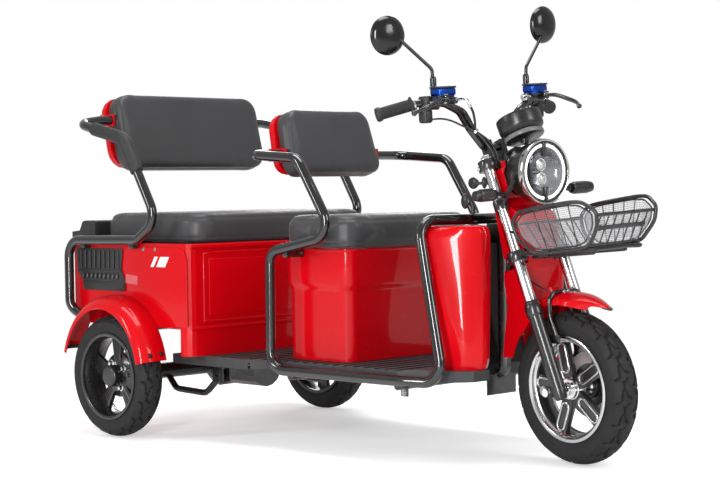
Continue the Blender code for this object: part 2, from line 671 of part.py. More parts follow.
def driver_guard(name, side):
    """Side guard: armrest, loop round the seat, foot rail and the bar over the leg shields."""
    def at(x, spread, z):
        return (x, side * spread, z)

    path = rounded([
        (at(DRIVER_ARM_X, DRIVER_BACK_HALF_WIDTH + GAP, DRIVER_ARM_Z), 0),
        (at(DRIVER_ARM_X, GUARD_SPREAD, DRIVER_ARM_Z), 0.045),
        (at(0.680, GUARD_SPREAD, 0.827), 0.055),
        (at(0.822, GUARD_SPREAD, 0.612), 0.050),
        (at(0.560, GUARD_SPREAD, 0.562), 0.040),
        (at(0.556, GUARD_SPREAD, 0.226), 0.055),
        (at(1.075, GUARD_SPREAD, 0.226), 0.300),
        (at(1.205, GUARD_SPREAD - 0.017, 0.226), 0.050),
        (at(1.100, GUARD_SPREAD - 0.041, HEAD_BAR_Z), 0.055),
        (at(HEAD_BAR_X, 0.110, HEAD_BAR_Z), 0.060),
        (at(HEAD_BAR_X, GAP / 2, HEAD_BAR_Z), 0),
    ])
    inner, outer = sorted((side * (SEAT_BOX_HALF_WIDTH + GAP), side * GUARD_SPREAD))
    seat_tab = block((0.612, inner, 0.545), (0.632, outer, SEAT_BOX_TOP - GAP))
    low, high = sorted((side * (GUARD_SPREAD - 0.003), side * (GUARD_SPREAD + 0.001)))
    foot_tab = block((1.070, low, 0.186), (1.092, high, 0.220))
    place("driver_guard_" + name, fused(pipe(path, GUARD_RADIUS, 2), seat_tab, foot_tab), "black_tube")


def rear_guard(name, side):
    """Side guard of the passenger seat: armrest, loop along the cushion and the rear bend."""
    def at(x, spread, z):
        return (x, side * spread, z)

    first, second, third = ARMREST_CORNERS
    path = rounded([
        (at(REAR_ARM_X, PASSENGER_BACK_HALF_WIDTH + GAP, REAR_ARM_Z), 0),
        (at(REAR_ARM_X, PASSENGER_BACK_HALF_WIDTH + 0.030, REAR_ARM_Z), 0.100),
        (at(first[0], REAR_GUARD_SPREAD, first[1]), 0.050),
        (at(second[0], REAR_GUARD_SPREAD, second[1]), ARMREST_BEND),
        (at(third[0], REAR_GUARD_SPREAD, third[1]), 0.055),
        (at(0.100, REAR_GUARD_SPREAD, 0.596), 0.045),
        (at(-0.244, REAR_GUARD_SPREAD, 0.593), 0.055),
        (at(-0.244, REAR_GUARD_SPREAD, 0.385), 0.045),
        (at(-0.205, BODY_HALF_WIDTH + GAP + GUARD_RADIUS * 0.4, 0.352), 0),
    ])
    tube = pipe(path, GUARD_RADIUS, 2)
    beside = side * (BODY_HALF_WIDTH + GAP)
    inner, outer = sorted((beside, side * (REAR_GUARD_SPREAD - 0.004)))
    tabs = [block((x - 0.010, inner, 0.570), (x + 0.010, outer, BODY_TOP - 0.002)) for x in (-0.180, 0.060)]
    low, high = sorted((beside, beside - side * 0.1))
    shape = cut(fused(tube, *tabs), block((-0.4, low, 0.2), (0.0, high, 0.5)))
    place("rear_guard_" + name, shape, "black_tube")


def armrest_pad(name, side):
    """Moulded half-sleeve that clips over the sloping front of the armrest."""
    rear, bend, front = (Vector((x, side * REAR_GUARD_SPREAD, z)) for x, z in ARMREST_CORNERS)
    start, end = rear.lerp(bend, 0.34), bend.lerp(front, 0.42)
    path = rounded([(start, 0), (bend, ARMREST_BEND), (end, 0)])
    outer = pipe(path, GUARD_RADIUS + 0.006, 2)
    longer = [path[0] + (path[0] - path[1]) * 0.5] + path + [path[-1] + (path[-1] - path[-2]) * 0.5]
    inner = pipe(longer, (GUARD_RADIUS + GAP) * 1.04, 4)
    place("armrest_pad_" + name, cut(outer, inner), "black_plastic")


def shield_share(z):
    """How far down the leg shields z lies: 0 at their top, 1 at the floor."""
    return (SHIELD_TOP - z) / (SHIELD_TOP - FLOOR_SEAT)


def shield_rear(z):
    return SHIELD_REAR_TOP + (SHIELD_REAR_FOOT - SHIELD_REAR_TOP) * shield_share(z)


def leg_shield(name, side):
    """One side of the front moulding: side wall, rounded ridge, front face and inner return."""
    levels = [
        (FLOOR_SEAT, 0.90, 0.0), (FLOOR_SEAT + 0.030, 0.98, 0.0), (0.450, 1.0, 0.0),
        (SHIELD_TOP - 0.040, 1.0, 0.0), (SHIELD_TOP - 0.010, 0.96, 0.011), (SHIELD_TOP, 0.88, 0.030),
    ]
    middle = 0.185
    shape = bmesh.new()
    rings = []
    for z, share, shoulder in levels:
        rear, down = shield_rear(z), shield_share(z)
        outer = SHIELD_OUTER_TOP + (SHIELD_OUTER_FOOT - SHIELD_OUTER_TOP) * down - shoulder
        inner = SHIELD_INNER_TOP + (SHIELD_INNER_FOOT - SHIELD_INNER_TOP) * down
        wrap = SHIELD_WRAP_TOP + (SHIELD_WRAP_FOOT - SHIELD_WRAP_TOP) * down
        plan = [
            (0.0, outer), (0.33, outer - 0.018), (0.68, 0.208), (0.94, 0.180), (1.0, 0.162),
            (0.95, inner + 0.020), (0.80, inner), (0.42, inner - 0.85 * wrap), (0.0, inner - wrap),
        ]
        ring = []
        for ahead, y in plan:
            x = rear + (SHIELD_RIDGE - rear) * ahead * share
            ring.append(shape.verts.new((x, side * (middle + (y - middle) * share), z)))
        rings.append(ring)
    for low, high in zip(rings, rings[1:]):
        for index in range(len(plan)):
            follow = (index + 1) % len(plan)
            shape.faces.new((low[index], low[follow], high[follow], high[index]))
    shape.faces.new(rings[0])
    shape.faces.new(rings[-1])
    bmesh.ops.recalc_face_normals(shape, faces=shape.faces)
    behind = extruded([
        (shield_rear(0.200) - 0.1, 0.200), (shield_rear(0.200), 0.200), (shield_rear(0.700), 0.700),
        (shield_rear(0.700) - 0.1, 0.700),
    ], -0.4, 0.4)
    place("leg_shield_" + name, cut(hollowed(shape, SHIELD_WALL, (-1, 0, 0)), behind), "red_plastic")


def knee_panel():
    """The black panel behind the leg shields."""
    top = SHIELD_TOP - 0.004
    shape = extruded([
        (shield_rear(FLOOR_SEAT) - KNEE_PANEL_WALL, FLOOR_SEAT),
        (shield_rear(FLOOR_SEAT) - 2 * GAP, FLOOR_SEAT),
        (shield_rear(top) - 2 * GAP, top), (shield_rear(top) - KNEE_PANEL_WALL, top),
    ], -SHIELD_OUTER_FOOT, SHIELD_OUTER_FOOT)
    soften(shape, 0.010, 2, lambda edge: abs((edge.verts[1].co - edge.verts[0].co).x) > 0.005
           and abs((edge.verts[1].co - edge.verts[0].co).z) < 0.005)
    place("knee_panel", shape, "black_plastic")


def floor_board():
    """Ribbed tray with a foot step on each side, open below."""
    beside_guard = GUARD_SPREAD - GUARD_RADIUS - GAP
    outline = [
        (FLOOR_NOTCH, DOWN_TUBE_RADIUS + 0.008), (1.160, 0.108), (FLOOR_FRONT, 0.142),
        (FLOOR_FRONT, 0.205), (1.200, 0.245), (1.120, beside_guard - 0.040), (1.040, beside_guard),
        (0.520, beside_guard), (STEP_FRONT, STEP_HALF_WIDTH), (STEP_REAR, STEP_HALF_WIDTH),
        (STEP_REAR, 0.268), (0.248, 0.255),
    ]
    outline += [(x, -y) for x, y in reversed(outline)]
    low = FLOOR_TOP - FLOOR_DEPTH
    tray = extruded(outline, low, FLOOR_TOP + FLOOR_RIB, "Z")
    grooves = []
    x = STEP_REAR + FLOOR_RIB_PITCH
    while x < SHIELD_REAR_FOOT - 2 * FLOOR_RIB_PITCH:
        grooves.append((x, x + FLOOR_RIB_PITCH * 0.5))
        x += FLOOR_RIB_PITCH
    comb = [(STEP_REAR - 0.05, FLOOR_TOP + 0.05)]
    for start, end in grooves:
        comb += [(start, FLOOR_TOP + 0.05), (start, FLOOR_TOP), (end, FLOOR_TOP), (end, FLOOR_TOP + 0.05)]
    comb += [(FLOOR_FRONT + 0.05, FLOOR_TOP + 0.05), (FLOOR_FRONT + 0.05, FLOOR_TOP + 0.06),
             (STEP_REAR - 0.05, FLOOR_TOP + 0.06)]
    cutter = extruded(comb, -STEP_HALF_WIDTH + 0.012, STEP_HALF_WIDTH - 0.012)
    inner = [(x + (0.004 if x < 0.5 else -0.004), y - math.copysign(0.004, y)) for x, y in outline]
    below = extruded(inner, low - 0.02, FLOOR_TOP - FLOOR_SHEET, "Z")
    slots = [block((0.240, side * RAIL_SPREAD - RAIL_RADIUS - GAP, low - 0.02),
                   (0.256, side * RAIL_SPREAD + RAIL_RADIUS + GAP,
                    FLOOR_TOP - FLOOR_SHEET)) for side in (-1, 1)]
    slots.append(block((FLOOR_NOTCH - 0.010, -DOWN_TUBE_RADIUS - GAP, low - 0.02),
                       (FLOOR_NOTCH + 0.010, DOWN_TUBE_RADIUS + GAP, FLOOR_TOP - FLOOR_SHEET)))
    place("floor_board", cut(tray, cutter, below, *slots), "black_plastic")


def rear_body():
    """Open-topped red tub with wheel arches and a deeper front column that stands on the floor."""
    outline = [
        (BODY_REAR, BODY_TOP), (BODY_FRONT, BODY_TOP), (BODY_FRONT, FLOOR_SEAT),
        (BODY_FRONT - BODY_COLUMN, FLOOR_SEAT), (BODY_FRONT - BODY_COLUMN, BODY_SIDE_BOTTOM),
        (BODY_REAR, BODY_SIDE_BOTTOM),
    ]
    shape = extruded(outline, -BODY_HALF_WIDTH, BODY_HALF_WIDTH)
    soften(shape, BODY_CORNER, 3, lambda edge: upright(edge) and edge.verts[0].co.x > BODY_FRONT - 0.01
           and min(vert.co.z for vert in edge.verts) < FLOOR_SEAT + 0.01)
    wells = [rod((0.0, side * WELL_INNER, REAR_WHEEL_RADIUS),
                 (0.0, side * (BODY_HALF_WIDTH + 0.05), REAR_WHEEL_RADIUS),
                 WELL_RADIUS, 24) for side in (-1, 1)]
    shape = hollowed(cut(shape, *wells), BODY_WALL, (0, 0, 1))
    front = block((BODY_FRONT - 0.002, -BODY_HALF_WIDTH + 0.055, 0.352),
                  (BODY_FRONT + 0.004, BODY_HALF_WIDTH - 0.055, 0.560))
    soften(front, 0.002, 1)
    place("rear_body", fused(shape, front), "red_plastic")


def side_vent(name, side):
    """Ribbed black grille panel on the body side."""
    outline = [
        (-0.240, 0.568), (-0.005, 0.568), (-0.014, 0.505), (0.004, 0.470), (0.004, 0.438),
        (-0.205, 0.438), (-0.210, 0.468), (-0.235, 0.492),
    ]
    face = side * (BODY_HALF_WIDTH + GAP)
    plate = extruded(outline, *sorted((face, face + side * 0.004)))
    ribs = []
    for index in range(9):
        x = -0.220 + index * 0.0235
        low, high = sorted((face + side * 0.002, face + side * 0.0085))
        ribs.append(block((x, low, 0.512), (x + 0.013, high, 0.560)))
    place("side_vent_" + name, fused(plate, *ribs), "black_plastic")


def rear_deck():
    """Lid behind the passenger seat, with a lip that overhangs the body at its back."""
    under = BODY_TOP + GAP
    front = REAR_SEAT_REAR - 0.004
    outline = [
        (BODY_REAR - 0.006, under), (front, under), (front, 0.652), (BODY_REAR + 0.019, 0.652),
        (BODY_REAR + 0.002, 0.621), (BODY_REAR - 0.037, 0.617), (BODY_REAR - 0.037, 0.600),
        (BODY_REAR - 0.012, 0.597),
    ]
    shape = extruded(outline, -BODY_HALF_WIDTH + 0.020, BODY_HALF_WIDTH - 0.020)
    soften(shape, 0.006, 2, lambda edge: min(vert.co.z for vert in edge.verts) > 0.640)
    place("rear_deck", shape, "black_plastic")


def rear_fender(name, side):
    """Arched guard over a rear wheel: part of an ellipse with a rounded outer shoulder."""
    steps = 12
    rise_front = math.asin((0.236 - REAR_WHEEL_RADIUS) / FENDER_RISE)
    rise_rear = math.pi - math.asin((0.255 - REAR_WHEEL_RADIUS) / FENDER_RISE)
    section = [
        (FENDER_INNER, 0.012), (FENDER_INNER + 0.040, 0.012), (FENDER_OUTER - 0.022, 0.004),
        (FENDER_OUTER - 0.006, -0.008), (FENDER_OUTER, -0.026),
    ]
    shape = bmesh.new()
    rows = []
    for index in range(steps + 1):
        angle = rise_front + (rise_rear - rise_front) * index / steps
        row = []
        for y, rise in section:
            x = FENDER_CENTRE_X + (FENDER_HALF_LENGTH + rise) * math.cos(angle)
            row.append(shape.verts.new((x, side * y,
                                        REAR_WHEEL_RADIUS + (FENDER_RISE + rise) * math.sin(angle))))
        rows.append(row)
    for first, second in zip(rows, rows[1:]):
        for index in range(len(section) - 1):
            shape.faces.new((first[index], second[index], second[index + 1], first[index + 1]))
    bmesh.ops.recalc_face_normals(shape, faces=shape.faces)
    if shape.faces[:][0].normal.dot(Vector((1, 0, 1))) < 0:
        bmesh.ops.reverse_faces(shape, faces=shape.faces)
    bmesh.ops.solidify(shape, geom=shape.faces[:], thickness=FENDER_WALL)
    beside = side * FENDER_INNER
    low, high = sorted((beside, beside - side * 0.1))
    place("rear_fender_" + name, cut(shape, block((-0.5, low, 0.0), (0.5, high, 0.7))), "red_plastic")


def tail_lamp():
    shape = block((BODY_REAR - GAP - 0.018, -0.150, 0.490), (BODY_REAR - GAP, 0.150, 0.535))
    soften(shape, 0.006, 2,
           lambda edge: edge.verts[0].co.x < BODY_REAR - 0.01 and edge.verts[1].co.x < BODY_REAR - 0.01)
    place("tail_lamp", shape, "red_lamp")


def driver_seat_box():
    """Open-topped red box for the battery, stepped in below a crease."""
    shape = block((SEAT_BOX_REAR, -SEAT_BOX_HALF_WIDTH, FLOOR_SEAT),
                  (SEAT_BOX_FRONT, SEAT_BOX_HALF_WIDTH, SEAT_BOX_TOP))
    soften(shape, SEAT_BOX_CORNER, 4, upright)
    bmesh.ops.bisect_plane(shape, geom=shape.verts[:] + shape.edges[:] + shape.faces[:],
                           plane_co=(0, 0, SEAT_BOX_CREASE), plane_no=(0, 0, 1))
    bmesh.ops.bisect_plane(shape, geom=shape.verts[:] + shape.edges[:] + shape.faces[:],
                           plane_co=(0, 0, SEAT_BOX_CREASE - 0.020), plane_no=(0, 0, 1))
    centre_x = (SEAT_BOX_REAR + SEAT_BOX_FRONT) / 2
    for vert in shape.verts:
        if vert.co.z < SEAT_BOX_CREASE - 0.010:
            vert.co.x -= math.copysign(SEAT_BOX_STEP, vert.co.x - centre_x)
            vert.co.y -= math.copysign(SEAT_BOX_STEP, vert.co.y)
    shape = hollowed(shape, BODY_WALL, (0, 0, 1))
    place("driver_seat_box", shape, "red_plastic")
    floor = FLOOR_SEAT + BODY_WALL + GAP
    pack = block((SEAT_BOX_REAR + 0.045, -0.170, floor), (SEAT_BOX_FRONT - 0.045, 0.170, floor + 0.190))
    place("battery_pack", soften(pack, 0.006, 1), "black_plastic")


def cushion(name, low, high, corner, crown):
    """Plain closed seat pad: rounded corners and a slightly raised middle."""
    shape = block(low, high)
    soften(shape, corner, 4, upright)
    top = [edge for edge in shape.edges if all(vert.co.z > high[2] - 1e-5 for vert in edge.verts)]
    bmesh.ops.bevel(shape, geom=top, offset=crown, offset_type="OFFSET", segments=3, profile=0.5,
                    affect="EDGES", material=-1, clamp_overlap=True)
    place(name, shape, "black_leather")


def seats():
    base = SEAT_BOX_TOP + GAP
    half = SEAT_BOX_HALF_WIDTH + CUSHION_OVERHANG
    cushion("driver_seat_cushion", (SEAT_BOX_REAR + 0.006, -half, base),
            (SEAT_BOX_FRONT + CUSHION_OVERHANG, half, base + CUSHION_HEIGHT), 0.070, 0.028)
    base = BODY_TOP + GAP
    half = BODY_HALF_WIDTH - 0.030
    cushion("passenger_seat_cushion", (REAR_SEAT_REAR, -half, base),
            (BODY_FRONT, half, base + REAR_CUSHION_HEIGHT), 0.070, 0.026)


def backrest(name, top_half, bottom_half, height, front, middle, lean, corner):
    """Cushion of a backrest and the shape of the red moulded shell behind it, leaning back."""
    frame = Matrix.Translation((front, 0.0, middle)) @ Matrix.Rotation(-lean, 4, "Y")
    inset = 0.006

    def slab(rear, ahead, low, high, edge_bevel, bevelled_x):
        half = bottom_half - (inset if ahead > -0.001 else 0.0)
        shape = block((rear, -half, low), (ahead, half, high))
        soften(shape, corner, 4, lambda edge: abs((edge.verts[1].co - edge.verts[0].co).x) > 0.9
               * (edge.verts[1].co - edge.verts[0].co).length)
        rim = [edge for edge in shape.edges
               if all(abs(vert.co.x - bevelled_x) < 1e-5 for vert in edge.verts)]
        bmesh.ops.bevel(shape, geom=rim, offset=edge_bevel, offset_type="OFFSET", segments=2, profile=0.5,
                        affect="EDGES", material=-1, clamp_overlap=True)
        for vert in shape.verts:
            vert.co.y *= 1.0 - (1.0 - top_half / bottom_half) * (vert.co.z / height + 0.5)
        bmesh.ops.transform(shape, matrix=frame, verts=shape.verts)
        return shape

    pad = slab(-BACKREST_PAD, 0.0, -height / 2, height / 2, 0.014, 0.0)
    place(name + "_backrest_cushion", pad, "black_leather")
    back = -BACKREST_PAD - GAP
    return slab(back - BACKREST_SHELL, back, -height / 2 + BACKREST_SHELL_RISE, height / 2 - 0.004, 0.012,
                back - BACKREST_SHELL)


def backrests():
    driver = backrest("driver", DRIVER_BACK_TOP_HALF, DRIVER_BACK_HALF_WIDTH, DRIVER_BACK_HEIGHT,
                      DRIVER_BACK_FRONT, DRIVER_BACK_MIDDLE, DRIVER_BACK_LEAN, 0.045)
    passenger = backrest("passenger", PASSENGER_BACK_HALF_WIDTH, PASSENGER_BACK_HALF_WIDTH,
                         PASSENGER_BACK_HEIGHT, PASSENGER_BACK_FRONT, PASSENGER_BACK_MIDDLE,
                         PASSENGER_BACK_LEAN, 0.055)
    settings = (
        ("driver", driver, DRIVER_BACK_HALF_WIDTH, DRIVER_ARM_X, DRIVER_ARM_Z, 0.0085),
        ("passenger", passenger, PASSENGER_BACK_HALF_WIDTH, REAR_ARM_X, REAR_ARM_Z, 0.0050),
    )
    for name, shell, half_width, tube_x, tube_z, wall in settings:
        ears = []
        for side in (-1, 1):
            low, high = sorted((side * half_width, side * (half_width - wall)))
            ears.append(block((tube_x - 0.052, low, tube_z - 0.019), (tube_x + 0.017, high, tube_z + 0.019)))
        place(name + "_backrest_shell", fused(shell, *ears), "red_plastic")


def yoke(up):
    """One fork yoke: two clamp rings and the boss of the stem, joined by a web."""
    ring = STANCHION_RADIUS + YOKE_RING
    parts = [rod(fork_point(-FORK_OFFSET, 0, up), fork_point(-FORK_OFFSET, 0, up + YOKE_DEPTH), 0.028, 16)]
    for side in (-1, 1):
        parts.append(rod(fork_point(0, side * LEG_SPREAD, up),
                         fork_point(0, side * LEG_SPREAD, up + YOKE_DEPTH),
                         ring, 16))
    half = [(WEB_FRONT, 0.048), (0.010, LEG_SPREAD - 0.012), (0.010, LEG_SPREAD), (-0.012, LEG_SPREAD),
            (-0.034, 0.060), (-FORK_OFFSET - 0.018, 0.032)]
    web = extruded(half + [(ahead, -y) for ahead, y in reversed(half)],
                   up + 0.004, up + YOKE_DEPTH - 0.004, "Z")
    bmesh.ops.transform(web, matrix=FORK_FRAME, verts=web.verts)
    return parts + [web]


def fork():
    pieces = yoke(LOWER_YOKE) + yoke(UPPER_YOKE)
    stem = rod(fork_point(-FORK_OFFSET, 0, LOWER_YOKE + 0.011),
               fork_point(-FORK_OFFSET, 0, UPPER_YOKE + 0.012), STEM_RADIUS, 14)
    bar = FORK_FRAME.inverted() @ Vector((BAR_CORNERS[0][0], 0.0, BAR_CORNERS[0][2]))
    for side in (-1, 1):
        riser = block((bar.x - 0.015, side * 0.024 - 0.009, UPPER_YOKE + 0.010),
                      (bar.x + 0.015, side * 0.024 + 0.009, bar.z + BAR_RADIUS + 0.008))
        bmesh.ops.transform(riser, matrix=FORK_FRAME, verts=riser.verts)
        pieces.append(riser)
    shape = fused(stem, *pieces)
    bores = [rod(fork_point(0, side * LEG_SPREAD, LOWER_YOKE - 0.05),
                 fork_point(0, side * LEG_SPREAD, UPPER_YOKE + YOKE_DEPTH + 0.05),
                 STANCHION_RADIUS + GAP, 16) for side in (-1, 1)]
    bores.append(pipe(handlebar_path(), BAR_RADIUS + GAP, 2))
    place("fork_yokes", cut(shape, *bores), "black_metal")
    for name, side in (("right", -1), ("left", 1)):
        stanchion = rod(fork_point(0, side * LEG_SPREAD, STANCHION_BOTTOM),
                        fork_point(0, side * LEG_SPREAD, UPPER_YOKE + YOKE_DEPTH + 0.006),
                        STANCHION_RADIUS, 16)
        place("stanchion_" + name, stanchion, "chrome")


def handlebar_path():
    right = [((x, -y, z), bend) for (x, y, z), bend in zip(BAR_CORNERS, BAR_BENDS)]
    left = list(zip(BAR_CORNERS, BAR_BENDS))
    return rounded(list(reversed(right)) + left)


def mirrored(point, side):
    return Vector((point[0], side * point[1], point[2]))


def grip_shape(side):
    end, bend = mirrored(BAR_END, side), mirrored(BAR_BEND, side)
    start = bend + (end - bend).normalized() * 0.016
    length = (end - start).length
    bore = BAR_RADIUS + GAP
    profile = [
        (0.0, length + GAP), (bore, length + GAP), (bore, 0.0), (GRIP_RADIUS + 0.006, 0.0),
        (GRIP_RADIUS + 0.006, 0.005), (GRIP_RADIUS, 0.008), (GRIP_RADIUS, length - 0.006),
        (GRIP_RADIUS + 0.003, length - 0.002), (GRIP_RADIUS + 0.003, length + 0.006), (0.0, length + 0.006),
    ]
    return turned(profile, along(start, end), 16)


def bars():
    place("handlebar", pipe(handlebar_path(), BAR_RADIUS, 2), "black_tube")
    place("left_grip", grip_shape(1), "black_plastic")
    place("throttle_grip", grip_shape(-1), "black_plastic")
    for name, side in (("right", -1), ("left", 1)):
        bar_control(name, side)
        brake_lever(name, side)
        mirror(name, side)


def bar_control(name, side):
    """Brake master cylinder with its fluid reservoir, and the switch box below the bar."""
    def across(first, second):
        return sorted((side * first, side * second))

    pivot = mirrored(LEVER_PIVOT, side)
    foot = mirrored(MIRROR_FOOT, side)
    lift = Vector((0.0, 0.0, 1.0))
    clamp = rod(mirrored((1.1115, 0.171, 0.9746), side), mirrored((1.0925, 0.209, 0.9764), side), 0.0185, 12)
    low, high = across(0.150, 0.200)
    cylinder = soften(block((1.116, low, 0.968), (1.140, high, 0.992)), 0.003, 1)
    pot_low, pot_high = across(0.140, 0.200)
    pot = soften(block((1.108, pot_low, 0.9905), (1.152, pot_high, 1.012)), 0.004, 1)
    ear_low, ear_high = across(LEVER_PIVOT.y - 0.010, LEVER_PIVOT.y + 0.009)
    ears = [block((1.136, ear_low, pivot.z + rise - 0.002),
                  (pivot.x + 0.007, ear_high, pivot.z + rise + 0.002))
            for rise in (-0.0078, 0.0078)]
    pin = rod(pivot - 0.011 * lift, pivot + 0.011 * lift, LEVER_PIN_RADIUS, 8)
    box_low, box_high = across(0.195, 0.220)
    box = block((1.082, box_low, SWITCH_BOX_BOTTOM), (1.113, box_high, 0.972))
    stub = rod(foot - 0.034 * lift, foot - GAP * lift, 0.0085, 10)
    shape = fused(clamp, cylinder, pot, box, stub, *ears, pin)
    place("bar_control_" + name, cut(shape, pipe(handlebar_path(), BAR_RADIUS + GAP, 2)), "black_plastic")


def brake_lever(name, side):
    """Blade that bends round the fingers, on its pivot in the master cylinder's fork."""
    pivot = mirrored(LEVER_PIVOT, side)
    lift = Vector((0.0, 0.0, 1.0))
    path = smooth_route([mirrored(point, side) for point in (
        (1.158, 0.190, 0.984), (1.170, 0.215, 0.982), (1.180, 0.250, 0.970), (1.180, 0.280, 0.960),
        (1.167, 0.305, 0.949),
    )], 2)
    blade = pipe(path, 0.0052, 1)
    eye = rod(pivot - 0.005 * lift, pivot + 0.005 * lift, 0.0075, 12)
    knob = turned([(0.0, -0.0075), (0.0053, -0.0053), (0.0075, 0.0), (0.0053, 0.0053), (0.0, 0.0075)],
                  Matrix.Translation(path[-1]), 8)
    hole = rod(pivot - 0.02 * lift, pivot + 0.02 * lift, LEVER_PIN_RADIUS + RUNNING_GAP, 12)
    place("brake_lever_" + name, cut(fused(eye, blade, knob), hole), "black_metal")


def mirror(name, side):
    """Round mirror on a bent stem, turning on its threaded foot."""
    foot = mirrored(MIRROR_FOOT, side)
    centre = MIRROR_CENTRES[name]
    stem = pipe(rounded([
        (tuple(foot + Vector((0, 0, 0.004))), 0), (tuple(mirrored((1.094, 0.174, 1.066), side)), 0.02),
        (tuple(mirrored((1.068, 0.262, 1.150), side)), 0.02), (tuple(mirrored(MIRROR_STEM_END, side)), 0),
    ]), MIRROR_STEM_RADIUS, 1)
    sleeve = rod(foot, foot + Vector((0, 0, 0.040)), 0.009, 12)
    aim = Vector((-1.0, -side * 0.12, 0.06))
    head = turned([
        (0.0, 0.006), (MIRROR_RADIUS * 0.93, 0.006), (MIRROR_RADIUS, 0.002), (MIRROR_RADIUS, -0.004),
        (MIRROR_RADIUS * 0.80, -0.014), (MIRROR_RADIUS * 0.45, -0.020), (0.0, -0.022),
    ], along(centre, centre + aim), ROUND)
    place("mirror_" + name, fused(sleeve, stem, head), "black_plastic")


def sliders():
    """Lower fork legs, bored for the stanchions, each with a dust cap and an axle lug behind it."""
    bore = STANCHION_RADIUS + SLIDE_GAP
    outer, inner = LEG_SPREAD + SLIDER_RADIUS, LEG_SPREAD - SLIDER_RADIUS
    for name, side in (("right", -1), ("left", 1)):
        frame = FORK_FRAME @ Matrix.Translation((0, side * LEG_SPREAD, 0))
        cap_low = SLIDER_TOP - DUST_CAP_LENGTH
        leg = turned([
            (0.0, SLIDER_BOTTOM), (SLIDER_RADIUS * 0.7, SLIDER_BOTTOM),
            (SLIDER_RADIUS * 0.9, SLIDER_BOTTOM + 0.010),
            (SLIDER_RADIUS, 0.030), (SLIDER_RADIUS, cap_low), (DUST_CAP_RADIUS, cap_low + 0.006),
            (DUST_CAP_RADIUS, SLIDER_TOP - 0.008), (DUST_CAP_RADIUS * 0.86, SLIDER_TOP), (bore, SLIDER_TOP),
            (bore, STANCHION_BOTTOM - 0.045), (0.0, STANCHION_BOTTOM - 0.045),
        ], frame, 16)
        lug = rod(WHEEL_CENTRE + Vector((0, side * (inner + 0.0005), 0)),
                  WHEEL_CENTRE + Vector((0, side * (outer - 0.0005), 0)), AXLE_LUG_RADIUS, 14)
        hole = rod(WHEEL_CENTRE + Vector((0, side * (inner - 0.02), 0)),
                   WHEEL_CENTRE + Vector((0, side * (outer + 0.02), 0)), AXLE_RADIUS + GAP, 12)
        place("fork_slider_" + name, cut(fused(leg, lug), hole), "black_metal")
    end = outer + GAP
    left = turned([
        (0.0, -end - AXLE_NUT_LENGTH), (AXLE_NUT_RADIUS, -end - AXLE_NUT_LENGTH), (AXLE_NUT_RADIUS, -end),
        (AXLE_RADIUS, -end), (AXLE_RADIUS, end), (AXLE_NUT_RADIUS, end),
        (AXLE_NUT_RADIUS, end + AXLE_NUT_LENGTH),
        (0.0, end + AXLE_NUT_LENGTH),
    ], wheel_frame(WHEEL_CENTRE), 12)
    spacer = ring_tube(WHEEL_CENTRE - Vector((0, inner - GAP, 0)),
                       WHEEL_CENTRE - Vector((0, HUB_LENGTH / 2 + RUNNING_GAP, 0)), 0.010,
                       AXLE_RADIUS * 0.5, 12)
    place("front_axle", fused(left, spacer), "chrome")


def front_fender():
    """Short crowned fender, its chrome hoop and the straps to both sliders."""
    first, last, steps = math.radians(114.0), math.radians(57.0), 10
    section = [(-1.0, -0.028), (-0.86, -0.011), (0.0, 0.003), (0.86, -0.011), (1.0, -0.028)]
    shape = bmesh.new()
    rows = []
    for index in range(steps + 1):
        share = index / steps
        angle = first + (last - first) * share
        taper = 1.0 - 0.35 * max(0.0, share - 0.6) / 0.4
        row = []
        for across, rise in section:
            radius = FENDER_RADIUS + rise
            row.append(shape.verts.new((WHEELBASE + radius * math.cos(angle),
                                        across * FENDER_HALF_WIDTH * taper,
                                        FRONT_WHEEL_RADIUS + radius * math.sin(angle))))
        rows.append(row)
    for before, after in zip(rows, rows[1:]):
        for index in range(len(section) - 1):
            shape.faces.new((before[index], after[index], after[index + 1], before[index + 1]))
    bmesh.ops.recalc_face_normals(shape, faces=shape.faces)
    if shape.faces[:][0].normal.z < 0:
        bmesh.ops.reverse_faces(shape, faces=shape.faces)
    bmesh.ops.solidify(shape, geom=shape.faces[:], thickness=FENDER_WALL)
    inner = LEG_SPREAD - SLIDER_RADIUS - GAP
    hoop_y = inner - STAY_RADIUS
    hoop = pipe(rounded([
        ((1.413, -hoop_y, 0.333), 0), ((1.386, -hoop_y, 0.400), 0.050), ((1.386, -hoop_y, 0.460), 0.028),
        ((1.386, hoop_y, 0.460), 0.028), ((1.386, hoop_y, 0.400), 0.050), ((1.413, hoop_y, 0.333), 0),
    ]), STAY_RADIUS, 1)
    straps = []
    for side in (-1, 1):
        low, high = sorted((side * inner, side * (inner - 0.004)))
        strap = extruded([(1.362, 0.328), (1.424, 0.327), (1.424, 0.345), (1.350, 0.366)], low, high)
        straps.append(strap)
    place("front_fender", fused(shape, hoop, *straps), "red_plastic")


def brake_caliper():
    """Two-piston caliper over the disc, bolted to the left slider."""
    low, high = DISC_OFFSET - 0.020, LEG_SPREAD - SLIDER_RADIUS - GAP
    body = extruded([(1.434, 0.272), (1.482, 0.258), (1.500, 0.292), (1.448, 0.322)], low, high)
    soften(body, 0.004, 1)
    arm = extruded([(1.390, 0.262), (1.453, 0.276), (1.457, 0.308), (1.379, 0.300)], high - 0.006, high)
    slot = rod((WHEELBASE, DISC_OFFSET - DISC_WALL, FRONT_WHEEL_RADIUS),
               (WHEELBASE, DISC_OFFSET + DISC_WALL, FRONT_WHEEL_RADIUS),
               DISC_RADIUS + 0.003, ROUND)
    place("brake_caliper", cut(fused(body, arm), slot), "alloy")


